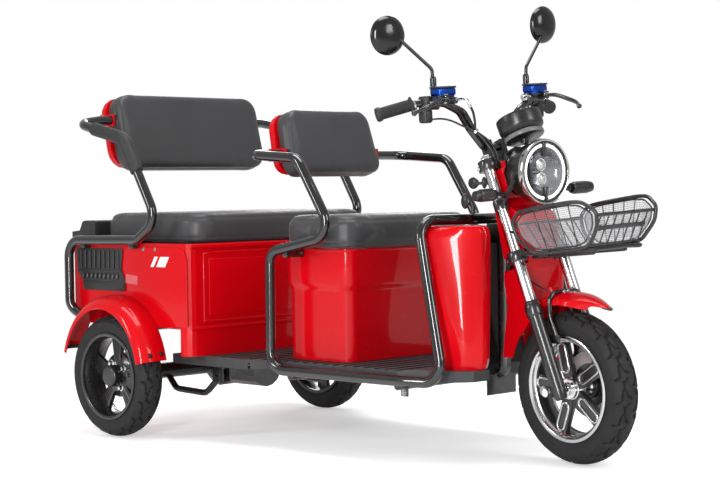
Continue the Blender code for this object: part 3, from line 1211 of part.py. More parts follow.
def dome_profile(extra):
    """Outer profile of the headlight's dome as (radius, height), grown by extra."""
    depth = HEADLIGHT_SHELL_DEPTH
    steps = [(0.0, -depth), (0.030, -depth + 0.004), (0.052, -depth + 0.020), (0.066, -depth + 0.044),
             (0.076, -depth + 0.072), (HEADLIGHT_RADIUS - 0.004, -0.010), (HEADLIGHT_RADIUS - 0.004, 0.0)]
    return [(radius + extra if radius else 0.0, height - extra) for radius, height in steps]


def headlight():
    """Domed black shell with ears to both stanchions, and the lens unit in its chrome rim."""
    front = HEADLIGHT_CENTRE
    facing = along(front, front + Vector((1, 0, 0)))
    depth = HEADLIGHT_SHELL_DEPTH
    shell = turned(dome_profile(0.0) + [
        (HEADLIGHT_RADIUS - 0.008, 0.0), (HEADLIGHT_RADIUS - 0.008, -0.010), (0.072, -depth + 0.074),
        (0.048, -depth + 0.026), (0.0, -depth + 0.016),
    ], facing, ROUND)
    ears = []
    up = HEADLIGHT_CLAMP
    for side in (-1, 1):
        clamp = rod(fork_point(0, side * LEG_SPREAD, up), fork_point(0, side * LEG_SPREAD, up + 0.024),
                    STANCHION_RADIUS + 0.0036, 14)
        start = fork_point(0.014, side * (LEG_SPREAD + 0.002), up + 0.012)
        ears += [clamp, rod(start, HEADLIGHT_CENTRE + Vector((-0.024, side * 0.079, -0.013)), 0.007, 8)]
        stem_end = mirrored(INDICATOR_START, side)
        outward = (mirrored(INDICATOR_END, side) - stem_end).normalized()
        ears.append(pipe([mirrored(INDICATOR_ROOT, side), mirrored(INDICATOR_ELBOW, side),
                          stem_end - outward * 0.012, stem_end - outward * GAP], 0.0055, 1))
    shape = fused(shell, *ears)
    bores = [rod(fork_point(0, side * LEG_SPREAD, up - 0.02), fork_point(0, side * LEG_SPREAD, up + 0.05),
                 STANCHION_RADIUS + GAP, 16) for side in (-1, 1)]
    place("headlight_shell", cut(shape, *bores), "black_plastic")
    lens = turned([
        (0.0, GAP), (HEADLIGHT_RADIUS - 0.006, GAP), (HEADLIGHT_RADIUS, 0.002),
        (HEADLIGHT_RADIUS + 0.001, 0.012),
        (HEADLIGHT_RADIUS - 0.005, HEADLIGHT_RIM_DEPTH - 0.004),
        (HEADLIGHT_RADIUS - 0.010, HEADLIGHT_RIM_DEPTH - 0.008),
        (0.045, HEADLIGHT_RIM_DEPTH - 0.001), (0.0, HEADLIGHT_RIM_DEPTH + 0.002),
    ], facing, 24)
    place("headlight_lens", lens, "clear_lamp")
    for name, side in (("right", -1), ("left", 1)):
        body = turned([(0.0, 0.0), (0.010, 0.0), (0.0155, 0.006), (0.0170, 0.040), (0.016, 0.070),
                       (0.009, 0.078), (0.0, 0.078)],
                      along(mirrored(INDICATOR_START, side), mirrored(INDICATOR_END, side)), 14)
        place("indicator_" + name, body, "black_plastic")


def instrument_cup():
    """Round instrument pod, tilted back to the rider, on a strap from the upper yoke."""
    low, high = Vector((1.262, 0.0, 0.866)), Vector((1.235, 0.0, 0.928))
    pod = turned([
        (0.0, 0.0), (0.050, 0.0), (0.055, 0.003), (0.055, 0.012), (0.051, 0.017), (CUP_RADIUS, 0.030),
        (CUP_RADIUS, CUP_DEPTH), (CUP_RADIUS - 0.005, CUP_DEPTH), (CUP_RADIUS - 0.006, CUP_DEPTH - 0.004),
        (0.0, CUP_DEPTH - 0.004),
    ], along(low, high), ROUND)
    web_top = UPPER_YOKE + YOKE_DEPTH - 0.004
    in_fork = FORK_FRAME.inverted() @ low
    strap = block((-0.014, -0.012, web_top + 0.018), (in_fork.x + 0.004, 0.012, web_top + 0.0235))
    foot_block = block((-0.0143, -0.013, web_top + GAP), (0.006, 0.013, web_top + 0.021))
    for piece in (strap, foot_block):
        bmesh.ops.transform(piece, matrix=FORK_FRAME, verts=piece.verts)
    lift = rod(fork_point(in_fork.x - 0.008, 0, web_top + 0.0207), low + (high - low) * 0.1, 0.011, 8)
    place("instrument_cup", fused(pod, strap, lift, foot_block), "black_plastic")


def front_cowl():
    """Red cover between the fork legs: nose, side flanks and the arch behind the wheel."""
    outline = [
        (1.205, 0.812), (1.224, 0.812), (1.252, 0.800), (1.254, 0.760), (1.244, 0.710), (1.254, 0.688),
        (1.284, 0.674), (1.302, 0.652), (1.306, 0.600), (1.302, 0.520), (1.296, 0.462), (1.327, 0.396),
        (1.296, 0.362), (1.270, 0.337), (1.252, 0.308), (1.240, 0.280), (1.204, 0.279), (1.215, 0.340),
        (1.231, 0.416), (1.223, 0.483), (1.226, 0.540), (1.206, 0.640), (1.192, 0.700),
    ]
    solid = extruded(outline, -COWL_HALF_WIDTH, COWL_HALF_WIDTH)

    def nose(edge):
        side = all(abs(abs(vert.co.y) - COWL_HALF_WIDTH) < 1e-5 for vert in edge.verts)
        along_side = edge.verts[0].co.y * edge.verts[1].co.y > 0.0
        beside_legs = all(0.51 < vert.co.z < 0.69 and vert.co.x > 1.24 for vert in edge.verts)
        return side and along_side and beside_legs

    soften(solid, COWL_EDGE_RADIUS, 3, nose)
    inner = COWL_HALF_WIDTH - COWL_WALL
    rear_room = extruded([
        (1.10, 0.90), (1.219, 0.90), (1.219, 0.806), (1.247, 0.796), (1.249, 0.761), (1.239, 0.710),
        (1.250, 0.684),
        (1.280, 0.669), (1.297, 0.649), (1.301, 0.600), (1.297, 0.520), (1.292, 0.422), (1.264, 0.397),
        (1.233, 0.368), (1.205, 0.334), (1.10, 0.334),
    ], -inner + 0.010, inner - 0.010)
    wheel_room = turned([(0.0, -inner), (0.238, -inner), (0.238, inner), (0.0, inner)],
                        wheel_frame(WHEEL_CENTRE), 40)
    rooms = [rear_room, wheel_room]
    ring = STANCHION_RADIUS + YOKE_RING + 0.004
    side_start = inner - 0.0125
    yoke_bands = ((LOWER_YOKE - 0.004, LOWER_YOKE + YOKE_DEPTH + 0.004),
                  (UPPER_YOKE - 0.004, UPPER_YOKE + 0.1))
    for low, high in yoke_bands:
        boxes = [block((-FORK_OFFSET - 0.040, -0.2, low), (WEB_FRONT + 0.0035, 0.2, high))]
        for side in (-1, 1):
            near, far = sorted((side * side_start, side * 0.2))
            boxes.append(block((-0.010, near, low), (ring, far, high)))
        for box in boxes:
            bmesh.ops.transform(box, matrix=FORK_FRAME, verts=box.verts)
        rooms += boxes
    dome = turned(dome_profile(0.004) + [(0.0, 0.0)],
                  along(HEADLIGHT_CENTRE, HEADLIGHT_CENTRE + Vector((1, 0, 0))), ROUND)
    head = rod(fork_point(-FORK_OFFSET, 0, LOWER_YOKE), fork_point(-FORK_OFFSET, 0, UPPER_YOKE),
               HEAD_TUBE_RADIUS + 0.006, 16)
    place("front_cowl", cut(solid, *rooms, dome, head), "red_plastic")


def basket():
    """Basket of two side hoops, rails and wires, on a carrier bolted to the lower yoke."""
    pieces = []
    hoop = [
        (1.330, 0.127, 0.650), (1.362, 0.130, 0.680), (1.575, 0.124, 0.708), (1.622, 0.110, 0.680),
        (1.618, 0.105, 0.640), (1.575, 0.094, 0.586), (1.400, 0.112, 0.566), (1.345, 0.122, 0.605),
    ]
    corners = [Vector(point) for point in hoop]
    path = []
    for before, corner, after in zip(corners[-1:] + corners[:-1], corners, corners[1:] + corners[:1]):
        path += [corner.lerp(before, 0.16), corner.lerp(after, 0.16)]
    for side in (-1, 1):
        pieces.append(pipe([mirrored(point, side) for point in path], BASKET_TUBE_RADIUS, 0, cyclic=True))
    rails = ((0, BASKET_TUBE_RADIUS), (3, BASKET_TUBE_RADIUS), (5, BASKET_WIRE_RADIUS),
             (6, BASKET_WIRE_RADIUS))
    for index, radius in rails:
        end = (path[2 * index] + path[2 * index + 1]) / 2
        pieces.append(rod(mirrored(end, -1), mirrored(end, 1), radius, 6))
    for index in range(5):
        y = -0.080 + 0.040 * index
        pieces.append(pipe([Vector((1.333, y, 0.651)), Vector((1.400, y, 0.567)), Vector((1.575, y, 0.587)),
                            Vector((1.619, y, 0.676))], BASKET_WIRE_RADIUS, 0))
    for side in (-1, 1):
        ring_front = STANCHION_RADIUS + YOKE_RING + GAP
        yoke_front = fork_point(ring_front, side * LEG_SPREAD, LOWER_YOKE + 0.014)
        pieces.append(pipe([yoke_front,
                            fork_point(ring_front + 0.010, side * LEG_SPREAD, LOWER_YOKE + 0.014),
                            Vector((yoke_front.x + 0.034, side * LEG_SPREAD, 0.557)),
                            Vector((1.572, side * 0.084, 0.580))], CARRIER_RADIUS, 0))
    for share in (0.25, 0.95):
        x, z = 1.33 + 0.245 * share, 0.556 + 0.024 * share
        pieces.append(rod((x, -0.090, z), (x, 0.090, z), CARRIER_RADIUS, 6))
    place("basket", fused(pieces[0], *pieces[1:]), "black_tube")


def steering_loom():
    """Brake hose and wires from the right bar control down beside the head tube."""
    on_yoke = fork_point(-0.022, -0.044, LOWER_YOKE + YOKE_DEPTH - 0.004 + GAP)
    box_under = SWITCH_BOX_BOTTOM - GAP
    route = smooth_route([
        (1.097, -0.208, box_under), (1.097, -0.208, box_under - 0.005), (1.097, -0.208, box_under - 0.011),
        (1.100, -0.190, 0.896),
        (1.104, -0.150, 0.886), (1.104, -0.090, 0.862), (1.098, -0.054, 0.828), (1.106, -0.045, 0.780),
        (1.150, -0.041, 0.704), tuple(on_yoke + FORK_UP * 0.050), tuple(on_yoke + FORK_UP * 0.015),
        tuple(on_yoke),
    ], 2)
    place("steering_loom", pipe(route, HOSE_RADIUS, 1), "black_plastic")


def pivot_empty(name, location, axis, parent=None):
    """An empty on a joint's axis, its Z along the axis."""
    item = bpy.data.objects.new(name, None)
    item.empty_display_size = 0.05
    bpy.context.scene.collection.objects.link(item)
    item.matrix_world = along(location, Vector(location) + Vector(axis))
    bpy.context.view_layer.update()
    if parent is not None:
        hang(item, parent)
    return item


def hang(item, parent):
    bpy.context.view_layer.update()
    item.parent = parent
    item.matrix_parent_inverse = parent.matrix_world.inverted()


def assemble():
    """Hang every piece from the empty of its joint, turn the steering and stand it on the floor."""
    vehicle = pivot_empty("vehicle", (0, 0, 0), (0, 0, 1))
    ground = FORK_FRAME @ Vector((-FORK_OFFSET, 0.0, 0.0))
    steering = pivot_empty("steering_axis", ground, FORK_UP, vehicle)
    slide = pivot_empty("fork_slide_axis", WHEEL_CENTRE, FORK_UP, steering)
    rear_arm = pivot_empty("rear_arm_axis", (ARM_PIVOT_X, 0, ARM_PIVOT_Z), (0, 1, 0), vehicle)
    pivots = {
        "steering": steering,
        "slide": slide,
        "front_wheel": pivot_empty("front_wheel_axis", WHEEL_CENTRE, (0, 1, 0), slide),
        "rear_arm": rear_arm,
        "driver_seat": pivot_empty("driver_seat_axis", (SEAT_BOX_FRONT, 0, SEAT_BOX_TOP), (0, 1, 0),
                                   vehicle),
        "passenger_seat": pivot_empty("passenger_seat_axis", (REAR_SEAT_REAR, 0, REAR_SEAT_HINGE_Z),
                                      (0, -1, 0), vehicle),
        "throttle": pivot_empty("throttle_axis", mirrored(BAR_BEND, -1), mirrored(BAR_END - BAR_BEND, -1),
                                steering),
    }
    for name, side in (("right", -1), ("left", 1)):
        centre = (0, side * REAR_HALF_TRACK, REAR_WHEEL_RADIUS)
        pivots["rear_wheel_" + name] = pivot_empty("rear_wheel_axis_" + name, centre, (0, 1, 0), rear_arm)
        pivots["lever_" + name] = pivot_empty("lever_axis_" + name, mirrored(LEVER_PIVOT, side), (0, 0, 1),
                                              steering)
        pivots["mirror_" + name] = pivot_empty("mirror_axis_" + name, mirrored(MIRROR_FOOT, side),
                                               (0, 0, 1), steering)
    carried = {
        "steering": ["fork_yokes", "stanchion_right", "stanchion_left", "handlebar", "left_grip",
                     "bar_control_right",
                     "bar_control_left", "instrument_cup", "headlight_shell", "headlight_lens", "front_cowl",
                     "basket", "indicator_right", "indicator_left", "steering_loom"],
        "slide": ["fork_slider_right", "fork_slider_left", "front_axle", "front_fender", "brake_caliper"],
        "front_wheel": ["front_tyre", "front_rim"],
        "rear_arm": ["rear_axle"],
        "driver_seat": ["driver_seat_cushion"],
        "passenger_seat": ["passenger_seat_cushion"],
        "throttle": ["throttle_grip"],
    }
    for name in ("right", "left"):
        carried["rear_wheel_" + name] = ["rear_tyre_" + name, "rear_rim_" + name]
        carried["lever_" + name] = ["brake_lever_" + name]
        carried["mirror_" + name] = ["mirror_" + name]
    moving = {node for nodes in carried.values() for node in nodes}
    for key, nodes in carried.items():
        for node in nodes:
            hang(bpy.data.objects[node], pivots[key])
    for item in list(bpy.data.objects):
        if item.type == "MESH" and item.name not in moving:
            hang(item, vehicle)
    steering.matrix_world = steering.matrix_world @ Matrix.Rotation(STEER_REST, 4, "Z")
    bpy.context.view_layer.update()
    corners = [item.matrix_world @ vert.co for item in bpy.data.objects if item.type == "MESH"
               for vert in item.data.vertices]
    low = Vector((min(point[axis] for point in corners) for axis in range(3)))
    high = Vector((max(point[axis] for point in corners) for axis in range(3)))
    stand = Matrix.Translation((-(low.x + high.x) / 2, -(low.y + high.y) / 2, -low.z))
    vehicle.matrix_world = stand @ vehicle.matrix_world
    bpy.context.view_layer.update()


def build():
    clear_scene()
    chassis()
    floor_board()
    for name, side in (("right", -1), ("left", 1)):
        driver_guard(name, side)
        rear_guard(name, side)
        armrest_pad(name, side)
        leg_shield(name, side)
        side_vent(name, side)
        rear_fender(name, side)
        rear_wheel(name, side)
        rear_shock(name, side)
    knee_panel()
    rear_body()
    rear_deck()
    tail_lamp()
    driver_seat_box()
    seats()
    backrests()
    rear_axle()
    fork()
    bars()
    sliders()
    front_fender()
    brake_caliper()
    front_wheel()
    headlight()
    instrument_cup()
    front_cowl()
    basket()
    steering_loom()
    assemble()


build()
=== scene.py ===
import json
import math

import bmesh
import bpy
from mathutils import Matrix, Vector
from mathutils.bvhtree import BVHTree

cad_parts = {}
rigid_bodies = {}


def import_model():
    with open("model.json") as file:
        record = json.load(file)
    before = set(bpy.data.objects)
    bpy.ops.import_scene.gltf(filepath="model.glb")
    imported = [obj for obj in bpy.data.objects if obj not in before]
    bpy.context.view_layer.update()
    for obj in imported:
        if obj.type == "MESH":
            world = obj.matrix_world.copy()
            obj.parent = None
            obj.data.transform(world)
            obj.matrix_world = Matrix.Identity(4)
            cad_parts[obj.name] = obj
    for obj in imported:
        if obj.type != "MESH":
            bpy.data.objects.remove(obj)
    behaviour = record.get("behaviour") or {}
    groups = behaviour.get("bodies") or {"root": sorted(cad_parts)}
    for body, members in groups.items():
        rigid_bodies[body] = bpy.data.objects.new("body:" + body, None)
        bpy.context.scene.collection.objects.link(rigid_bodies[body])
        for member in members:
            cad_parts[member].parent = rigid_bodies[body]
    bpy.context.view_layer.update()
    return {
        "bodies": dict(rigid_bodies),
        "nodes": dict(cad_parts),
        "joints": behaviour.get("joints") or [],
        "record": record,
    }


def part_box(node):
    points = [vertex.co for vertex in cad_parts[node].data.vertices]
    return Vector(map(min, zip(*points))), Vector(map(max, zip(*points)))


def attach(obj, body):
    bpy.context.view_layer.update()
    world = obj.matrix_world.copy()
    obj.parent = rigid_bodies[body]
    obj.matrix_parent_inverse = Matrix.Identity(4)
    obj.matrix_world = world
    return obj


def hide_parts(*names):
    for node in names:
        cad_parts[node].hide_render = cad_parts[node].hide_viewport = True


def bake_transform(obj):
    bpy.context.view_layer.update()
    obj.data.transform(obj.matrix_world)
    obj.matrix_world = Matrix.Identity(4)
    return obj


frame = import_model()

# The vehicle's own measures: X from the rear axle forwards, Y to the left, Z from the floor.
TO_FRAME = Matrix.Translation((-0.67197, 0.0, 0.00022))
RAKE = math.radians(21.5)
STEER_REST = math.radians(-7.5)
STEER_FOOT = Vector((1.47, 0.0, 0.0))
WHEEL_CENTRE = Vector((1.414, 0.0, 0.205))
AXLE_SETBACK = 0.02
FORK_AHEAD = Vector((math.cos(RAKE), 0.0, math.sin(RAKE)))
FORK_UP = Vector((-math.sin(RAKE), 0.0, math.cos(RAKE)))

STEERED = (TO_FRAME @ Matrix.Translation(STEER_FOOT) @ Matrix.Rotation(STEER_REST, 4, FORK_UP)
           @ Matrix.Translation(-STEER_FOOT))
LEG_FOOT = WHEEL_CENTRE + AXLE_SETBACK * FORK_AHEAD
FORK_FRAME = STEERED @ Matrix((
    (FORK_AHEAD.x, 0.0, FORK_UP.x, LEG_FOOT.x),
    (0.0, 1.0, 0.0, 0.0),
    (FORK_AHEAD.z, 0.0, FORK_UP.z, LEG_FOOT.z),
    (0.0, 0.0, 0.0, 1.0),
))
AXLE_TURN = Matrix.Rotation(-math.pi / 2, 4, "X")
FORK_HALF = 0.084
YOKE_RISES = (0.354, 0.617)
GUARD_SIDE = 0.313
ARMREST_SIDE = 0.429
BODY_SIDE = 0.4003
SIDES = (("right", -1), ("left", 1))
FRONT_AXLE = STEERED @ Matrix.Translation(WHEEL_CENTRE) @ AXLE_TURN


def on_fork(ahead, left, up):
    """A point measured along and across the fork legs, from the front axle's height."""
    return FORK_FRAME @ Vector((ahead, left, up))


def mirrored(point, side):
    """A point given on the left, on the side that is asked for."""
    return Vector((point[0], side * point[1], point[2]))


def on_vehicle(points):
    """Points measured on the vehicle, placed in the frame that the solids share."""
    return [TO_FRAME @ Vector(point) for point in points]


def steered(points, side=1):
    """Points given with the steering straight, turned to where they rest."""
    return [STEERED @ mirrored(point, side) for point in points]


def steered_axis(start, end, side=1):
    """A frame on the steering at start, whose Z runs to end."""
    return STEERED @ along(mirrored(start, side), mirrored(end, side))


def steered_spot(place, side=1):
    """An upright frame on the steering."""
    return STEERED @ Matrix.Translation(mirrored(place, side))


def rounded(corners, step=math.radians(6.0)):
    """A path through (point, radius) corners with an arc at each corner."""
    points = [Vector(point) for point, _ in corners]
    path = [points[0]]
    bends = [bend for _, bend in corners[1:]]
    for before, corner, after, radius in zip(points, points[1:], points[2:], bends):
        to_before = (before - corner).normalized()
        to_after = (after - corner).normalized()
        half = to_before.angle(to_after) / 2
        reach = radius / math.tan(half)
        centre = corner + (to_before + to_after).normalized() * (radius / math.sin(half))
        first = corner + to_before * reach - centre
        last = corner + to_after * reach - centre
        sweep = first.angle(last)
        count = max(2, math.ceil(sweep / step))
        for index in range(count + 1):
            share = index / count
            blend = math.sin((1 - share) * sweep) * first + math.sin(share * sweep) * last
            path.append(centre + blend / math.sin(sweep))
    path.append(points[-1])
    return path


# Finishes
class Finish:
    """A Principled material whose patterns read Object coordinates."""

    def __init__(self, name, colour, roughness, metallic=0.0, coat=0.0, coat_roughness=0.03):
        self.material = bpy.data.materials.new(name)
        self.material.use_nodes = True
        self.nodes = self.material.node_tree.nodes
        self.links = self.material.node_tree.links
        self.shader = self.nodes["Principled BSDF"]
        for socket, value in (("Base Color", (*colour, 1.0)), ("Roughness", roughness),
                              ("Metallic", metallic), ("Coat Weight", coat),
                              ("Coat Roughness", coat_roughness)):
            self.shader.inputs[socket].default_value = value
        self.material.diffuse_color = (*colour, 1.0)
        self.colour = colour
        self.roughness = roughness
        self.place = self.nodes.new("ShaderNodeTexCoord").outputs["Object"]
        self.height = None

    def noise(self, scale, detail=3.0, stretch=None):
        source = self.place
        if stretch is not None:
            mapping = self.nodes.new("ShaderNodeMapping")
            mapping.inputs["Scale"].default_value = stretch
            self.links.new(self.place, mapping.inputs["Vector"])
            source = mapping.outputs["Vector"]
        node = self.nodes.new("ShaderNodeTexNoise")
        node.inputs["Scale"].default_value = scale
        node.inputs["Detail"].default_value = detail
        self.links.new(source, node.inputs["Vector"])
        return node.outputs["Fac"]

    def cells(self, scale, feature="F1"):
        node = self.nodes.new("ShaderNodeTexVoronoi")
        node.feature = feature
        node.inputs["Scale"].default_value = scale
        self.links.new(self.place, node.inputs["Vector"])
        return node.outputs["Distance"]

    def spread(self, value, low, high, start=0.3, end=0.7):
        node = self.nodes.new("ShaderNodeMapRange")
        for socket, bound in (("From Min", start), ("From Max", end), ("To Min", low), ("To Max", high)):
            node.inputs[socket].default_value = bound
        self.links.new(value, node.inputs["Value"])
        return node.outputs["Result"]

    def mottle(self, scale, amount, detail=4.0, stretch=None):
        """Vary the colour a little from place to place."""
        node = self.nodes.new("ShaderNodeMix")
        node.data_type = "RGBA"
        node.inputs["A"].default_value = (*[c * (1 - amount) for c in self.colour], 1.0)
        node.inputs["B"].default_value = (*[min(1.0, c * (1 + amount)) for c in self.colour], 1.0)
        self.links.new(self.spread(self.noise(scale, detail, stretch), 0.0, 1.0), node.inputs["Factor"])
        self.links.new(node.outputs["Result"], self.shader.inputs["Base Color"])
        return self

    def smudge(self, scale, amount, detail=5.0, stretch=None):
        """Vary the roughness a little from place to place."""
        low, high = max(0.02, self.roughness - amount), min(1.0, self.roughness + amount)
        value = self.spread(self.noise(scale, detail, stretch), low, high)
        self.links.new(value, self.shader.inputs["Roughness"])
        return self

    def relief(self, value, distance, strength=1.0):
        """Add a bump on top of the ones already there."""
        node = self.nodes.new("ShaderNodeBump")
        node.inputs["Strength"].default_value = strength
        node.inputs["Distance"].default_value = distance
        self.links.new(value, node.inputs["Height"])
        if self.height is not None:
            self.links.new(self.height, node.inputs["Normal"])
        self.height = node.outputs["Normal"]
        self.links.new(self.height, self.shader.inputs["Normal"])
        return self


def glossy_red():
    made = Finish("red_gloss_plastic", (0.555, 0.0008, 0.005), 0.24, coat=0.4, coat_roughness=0.015)
    made.shader.inputs["Specular IOR Level"].default_value = 0.08
    made.mottle(2.2, 0.04)
    made.relief(made.noise(300.0, 2.0), 0.00002)
    made.smudge(60.0, 0.04)
    return made.material


def tube_black():
    made = Finish("black_gloss_tube", (0.0045, 0.0045, 0.005), 0.16, coat=0.8, coat_roughness=0.05)
    made.mottle(5.0, 0.15)
    made.smudge(40.0, 0.05)
    made.relief(made.noise(240.0, 2.0), 0.00006)
    return made.material


def moulded_black(name, colour, roughness, grain=900.0, depth=0.0001):
    made = Finish(name, colour, roughness)
    made.mottle(9.0, 0.12)
    made.smudge(70.0, 0.06)
    made.relief(made.cells(grain), depth)
    return made.material


def vinyl():
    made = Finish("grey_black_vinyl", (0.03, 0.0305, 0.033), 0.44)
    made.shader.inputs["Sheen Weight"].default_value = 0.08
    made.mottle(6.0, 0.1)
    made.smudge(14.0, 0.05)
    made.relief(made.cells(620.0, "DISTANCE_TO_EDGE"), 0.00012)
    made.relief(made.noise(36.0, 3.0), 0.0005)
    return made.material


def tyre_rubber():
    made = Finish("tyre_rubber", (0.0135, 0.0132, 0.0132), 0.66)
    made.shader.inputs["Specular IOR Level"].default_value = 0.32
    made.mottle(12.0, 0.18)
    made.smudge(50.0, 0.08)
    made.relief(made.noise(420.0, 3.0), 0.00012)
    return made.material


def metal(name, colour, roughness, mottled=0.04, scratches=(8.0, 8.0, 90.0), depth=0.00002):
    made = Finish(name, colour, roughness, metallic=1.0)
    made.mottle(16.0, mottled)
    made.smudge(22.0, min(0.08, roughness * 0.5), stretch=scratches)
    made.relief(made.noise(160.0, 2.0, scratches), depth)
    return made.material


def painted_black_metal():
    made = Finish("black_painted_metal", (0.01, 0.01, 0.0105), 0.3, coat=0.5, coat_roughness=0.12)
    made.mottle(14.0, 0.2)
    made.smudge(34.0, 0.08)
    made.relief(made.noise(300.0, 3.0), 0.0001)
    return made.material


def clear_glass(name):
    made = Finish(name, (1.0, 1.0, 1.0), 0.02)
    made.shader.inputs["Transmission Weight"].default_value = 1.0
    made.shader.inputs["IOR"].default_value = 1.25
    made.smudge(30.0, 0.015)
    return made.material


def lit(name, colour, strength):
    made = Finish(name, colour, 0.3)
    made.shader.inputs["Emission Color"].default_value = (*colour, 1.0)
    made.shader.inputs["Emission Strength"].default_value = strength
    made.relief(made.cells(500.0), 0.0001)
    return made.material


def lamp_dome():
    made = Finish("lamp_dome_glass", (0.62, 0.66, 0.6), 0.06, coat=1.0)
    made.mottle(90.0, 0.25)
    made.smudge(60.0, 0.03)
    return made.material


RED = glossy_red()
TUBE = tube_black()
PLASTIC = moulded_black("black_moulded_plastic", (0.017, 0.0175, 0.0185), 0.42)
GLOSS_PLASTIC = moulded_black("black_gloss_plastic", (0.006, 0.006, 0.0065), 0.16, 300.0, 0.00003)
DECK = moulded_black("grey_black_step_plastic", (0.034, 0.035, 0.037), 0.46)
VINYL = vinyl()
RUBBER = tyre_rubber()
SOFT_RUBBER = moulded_black("black_grip_rubber", (0.014, 0.014, 0.0145), 0.6, 1400.0, 0.00008)
# Darker rubber for the tyres' groove floors: painted shade in the grooves.
GROOVE_SHADE_RUBBER = moulded_black("groove_painted_shade_rubber", (0.0022, 0.0022, 0.0022), 0.9)
CHROME = metal("chrome_plate", (0.74, 0.74, 0.75), 0.05, 0.02)
RIM_CHROME = metal("lamp_rim_chrome", (0.56, 0.55, 0.53), 0.1, 0.05)
POLISHED = metal("polished_alloy", (0.62, 0.62, 0.63), 0.2, 0.05)
ALLOY = metal("satin_alloy", (0.4, 0.405, 0.41), 0.32, 0.06)
DISC_STEEL = metal("disc_steel", (0.5, 0.47, 0.46), 0.34, 0.08)
BLUE = metal("blue_anodised", (0.02, 0.085, 0.5), 0.22, 0.1)
BLACK_METAL = painted_black_metal()
LENS = clear_glass("lens_glass")
RED_LENS = lit("red_lens", (0.5, 0.006, 0.008), 0.05)
LED = lit("led_white", (0.95, 0.96, 0.98), 0.85)
WHITE_FILM = moulded_black("white_film", (0.82, 0.81, 0.8), 0.3, 200.0, 0.00002)
HOSE = moulded_black("black_hose_rubber", (0.011, 0.011, 0.0115), 0.34, 1200.0, 0.00004)
SATIN_BLACK = moulded_black("black_satin_shell", (0.011, 0.011, 0.0115), 0.3, 700.0, 0.00003)
BASKET_PAINT = moulded_black("grey_black_wire_paint", (0.02, 0.02, 0.021), 0.3, 900.0, 0.00004)
GREY_BAND = moulded_black("grey_band_plastic", (0.13, 0.13, 0.135), 0.34, 500.0, 0.00003)
MIRROR_GLASS = metal("mirror_silvering", (0.9, 0.91, 0.92), 0.02, 0.01)
REFLECTOR = metal("reflector_bowl", (0.24, 0.245, 0.26), 0.2, 0.1, (60.0, 60.0, 4.0))
LAMP_GLASS = lamp_dome()
DIAL_GLASS = moulded_black("dark_dial_glass", (0.008, 0.009, 0.01), 0.06, 90.0, 0.00001)
SMOKED_LENS = moulded_black("smoked_lens", (0.035, 0.03, 0.026), 0.14, 260.0, 0.00015)
PALE_RED_PLATE = moulded_black("pale_red_side_plate", (0.62, 0.1, 0.12), 0.18, 420.0, 0.0002)
MESH_STEEL = metal("basket_mesh_steel", (0.42, 0.42, 0.44), 0.38, 0.06)

# The CAD nodes that stay in sight; pieces made below stand for the others.
NODE_FINISH = {
    RED: ("rear_body", "driver_backrest_shell", "passenger_backrest_shell", "front_cowl"),
    PLASTIC: ("knee_panel", "rear_deck", "battery_pack"),
    DECK: ("floor_board",),
    CHROME: ("front_axle",),
    ALLOY: ("brake_caliper",),
    BLACK_METAL: ("chassis_frame", "rear_axle", "fork_yokes"),
    RED_LENS: ("tail_lamp",),
}
for finish, names in NODE_FINISH.items():
    for name in names:
        for slot in bpy.data.objects[name].material_slots:
            slot.material = finish


# Shapes
def added(name, data):
    """A new object of the scene."""
    item = bpy.data.objects.new(name, data)
    bpy.context.scene.collection.objects.link(item)
    return item


def piece(name, shape, finish, body, smooth_angle=40.0, stands_for=None):
    """Make an object from a bmesh, riding on a body and, where named, standing for a CAD node."""
    bmesh.ops.recalc_face_normals(shape, faces=shape.faces)
    mesh = bpy.data.meshes.new(name)
    shape.to_mesh(mesh)
    shape.free()
    mesh.shade_smooth()
    mesh.set_sharp_from_angle(angle=math.radians(smooth_angle))
    item = added(name, mesh)
    mesh.materials.append(finish)
    if body:
        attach(item, body)
    if stands_for:
        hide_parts(stands_for)
    return item


def spun(profile, frame, steps=96, closed=None):
    """Turn (radius, height) points round the Z axis of a frame.

    A profile that starts on the axis ends there too, and is left open.
    """
    if closed is None:
        closed = profile[0][0] > 0.0
    shape = bmesh.new()
    ring = [shape.verts.new((radius, 0.0, height)) for radius, height in profile]
    pairs = list(zip(ring, ring[1:]))
    if closed:
        pairs.append((ring[-1], ring[0]))
    edges = [shape.edges.new(pair) for pair in pairs]
    bmesh.ops.spin(shape, geom=ring + edges, cent=(0, 0, 0), axis=(0, 0, 1), angle=math.tau,
                   steps=steps, use_merge=True)
    bmesh.ops.remove_doubles(shape, verts=shape.verts, dist=1e-6)
    bmesh.ops.transform(shape, matrix=frame, verts=shape.verts)
    bmesh.ops.recalc_face_normals(shape, faces=shape.faces)
    return shape


def along(start, end):
    """A frame at start whose Z runs to end."""
    start, end = Vector(start), Vector(end)
    return Matrix.Translation(start) @ (end - start).to_track_quat("Z", "Y").to_matrix().to_4x4()


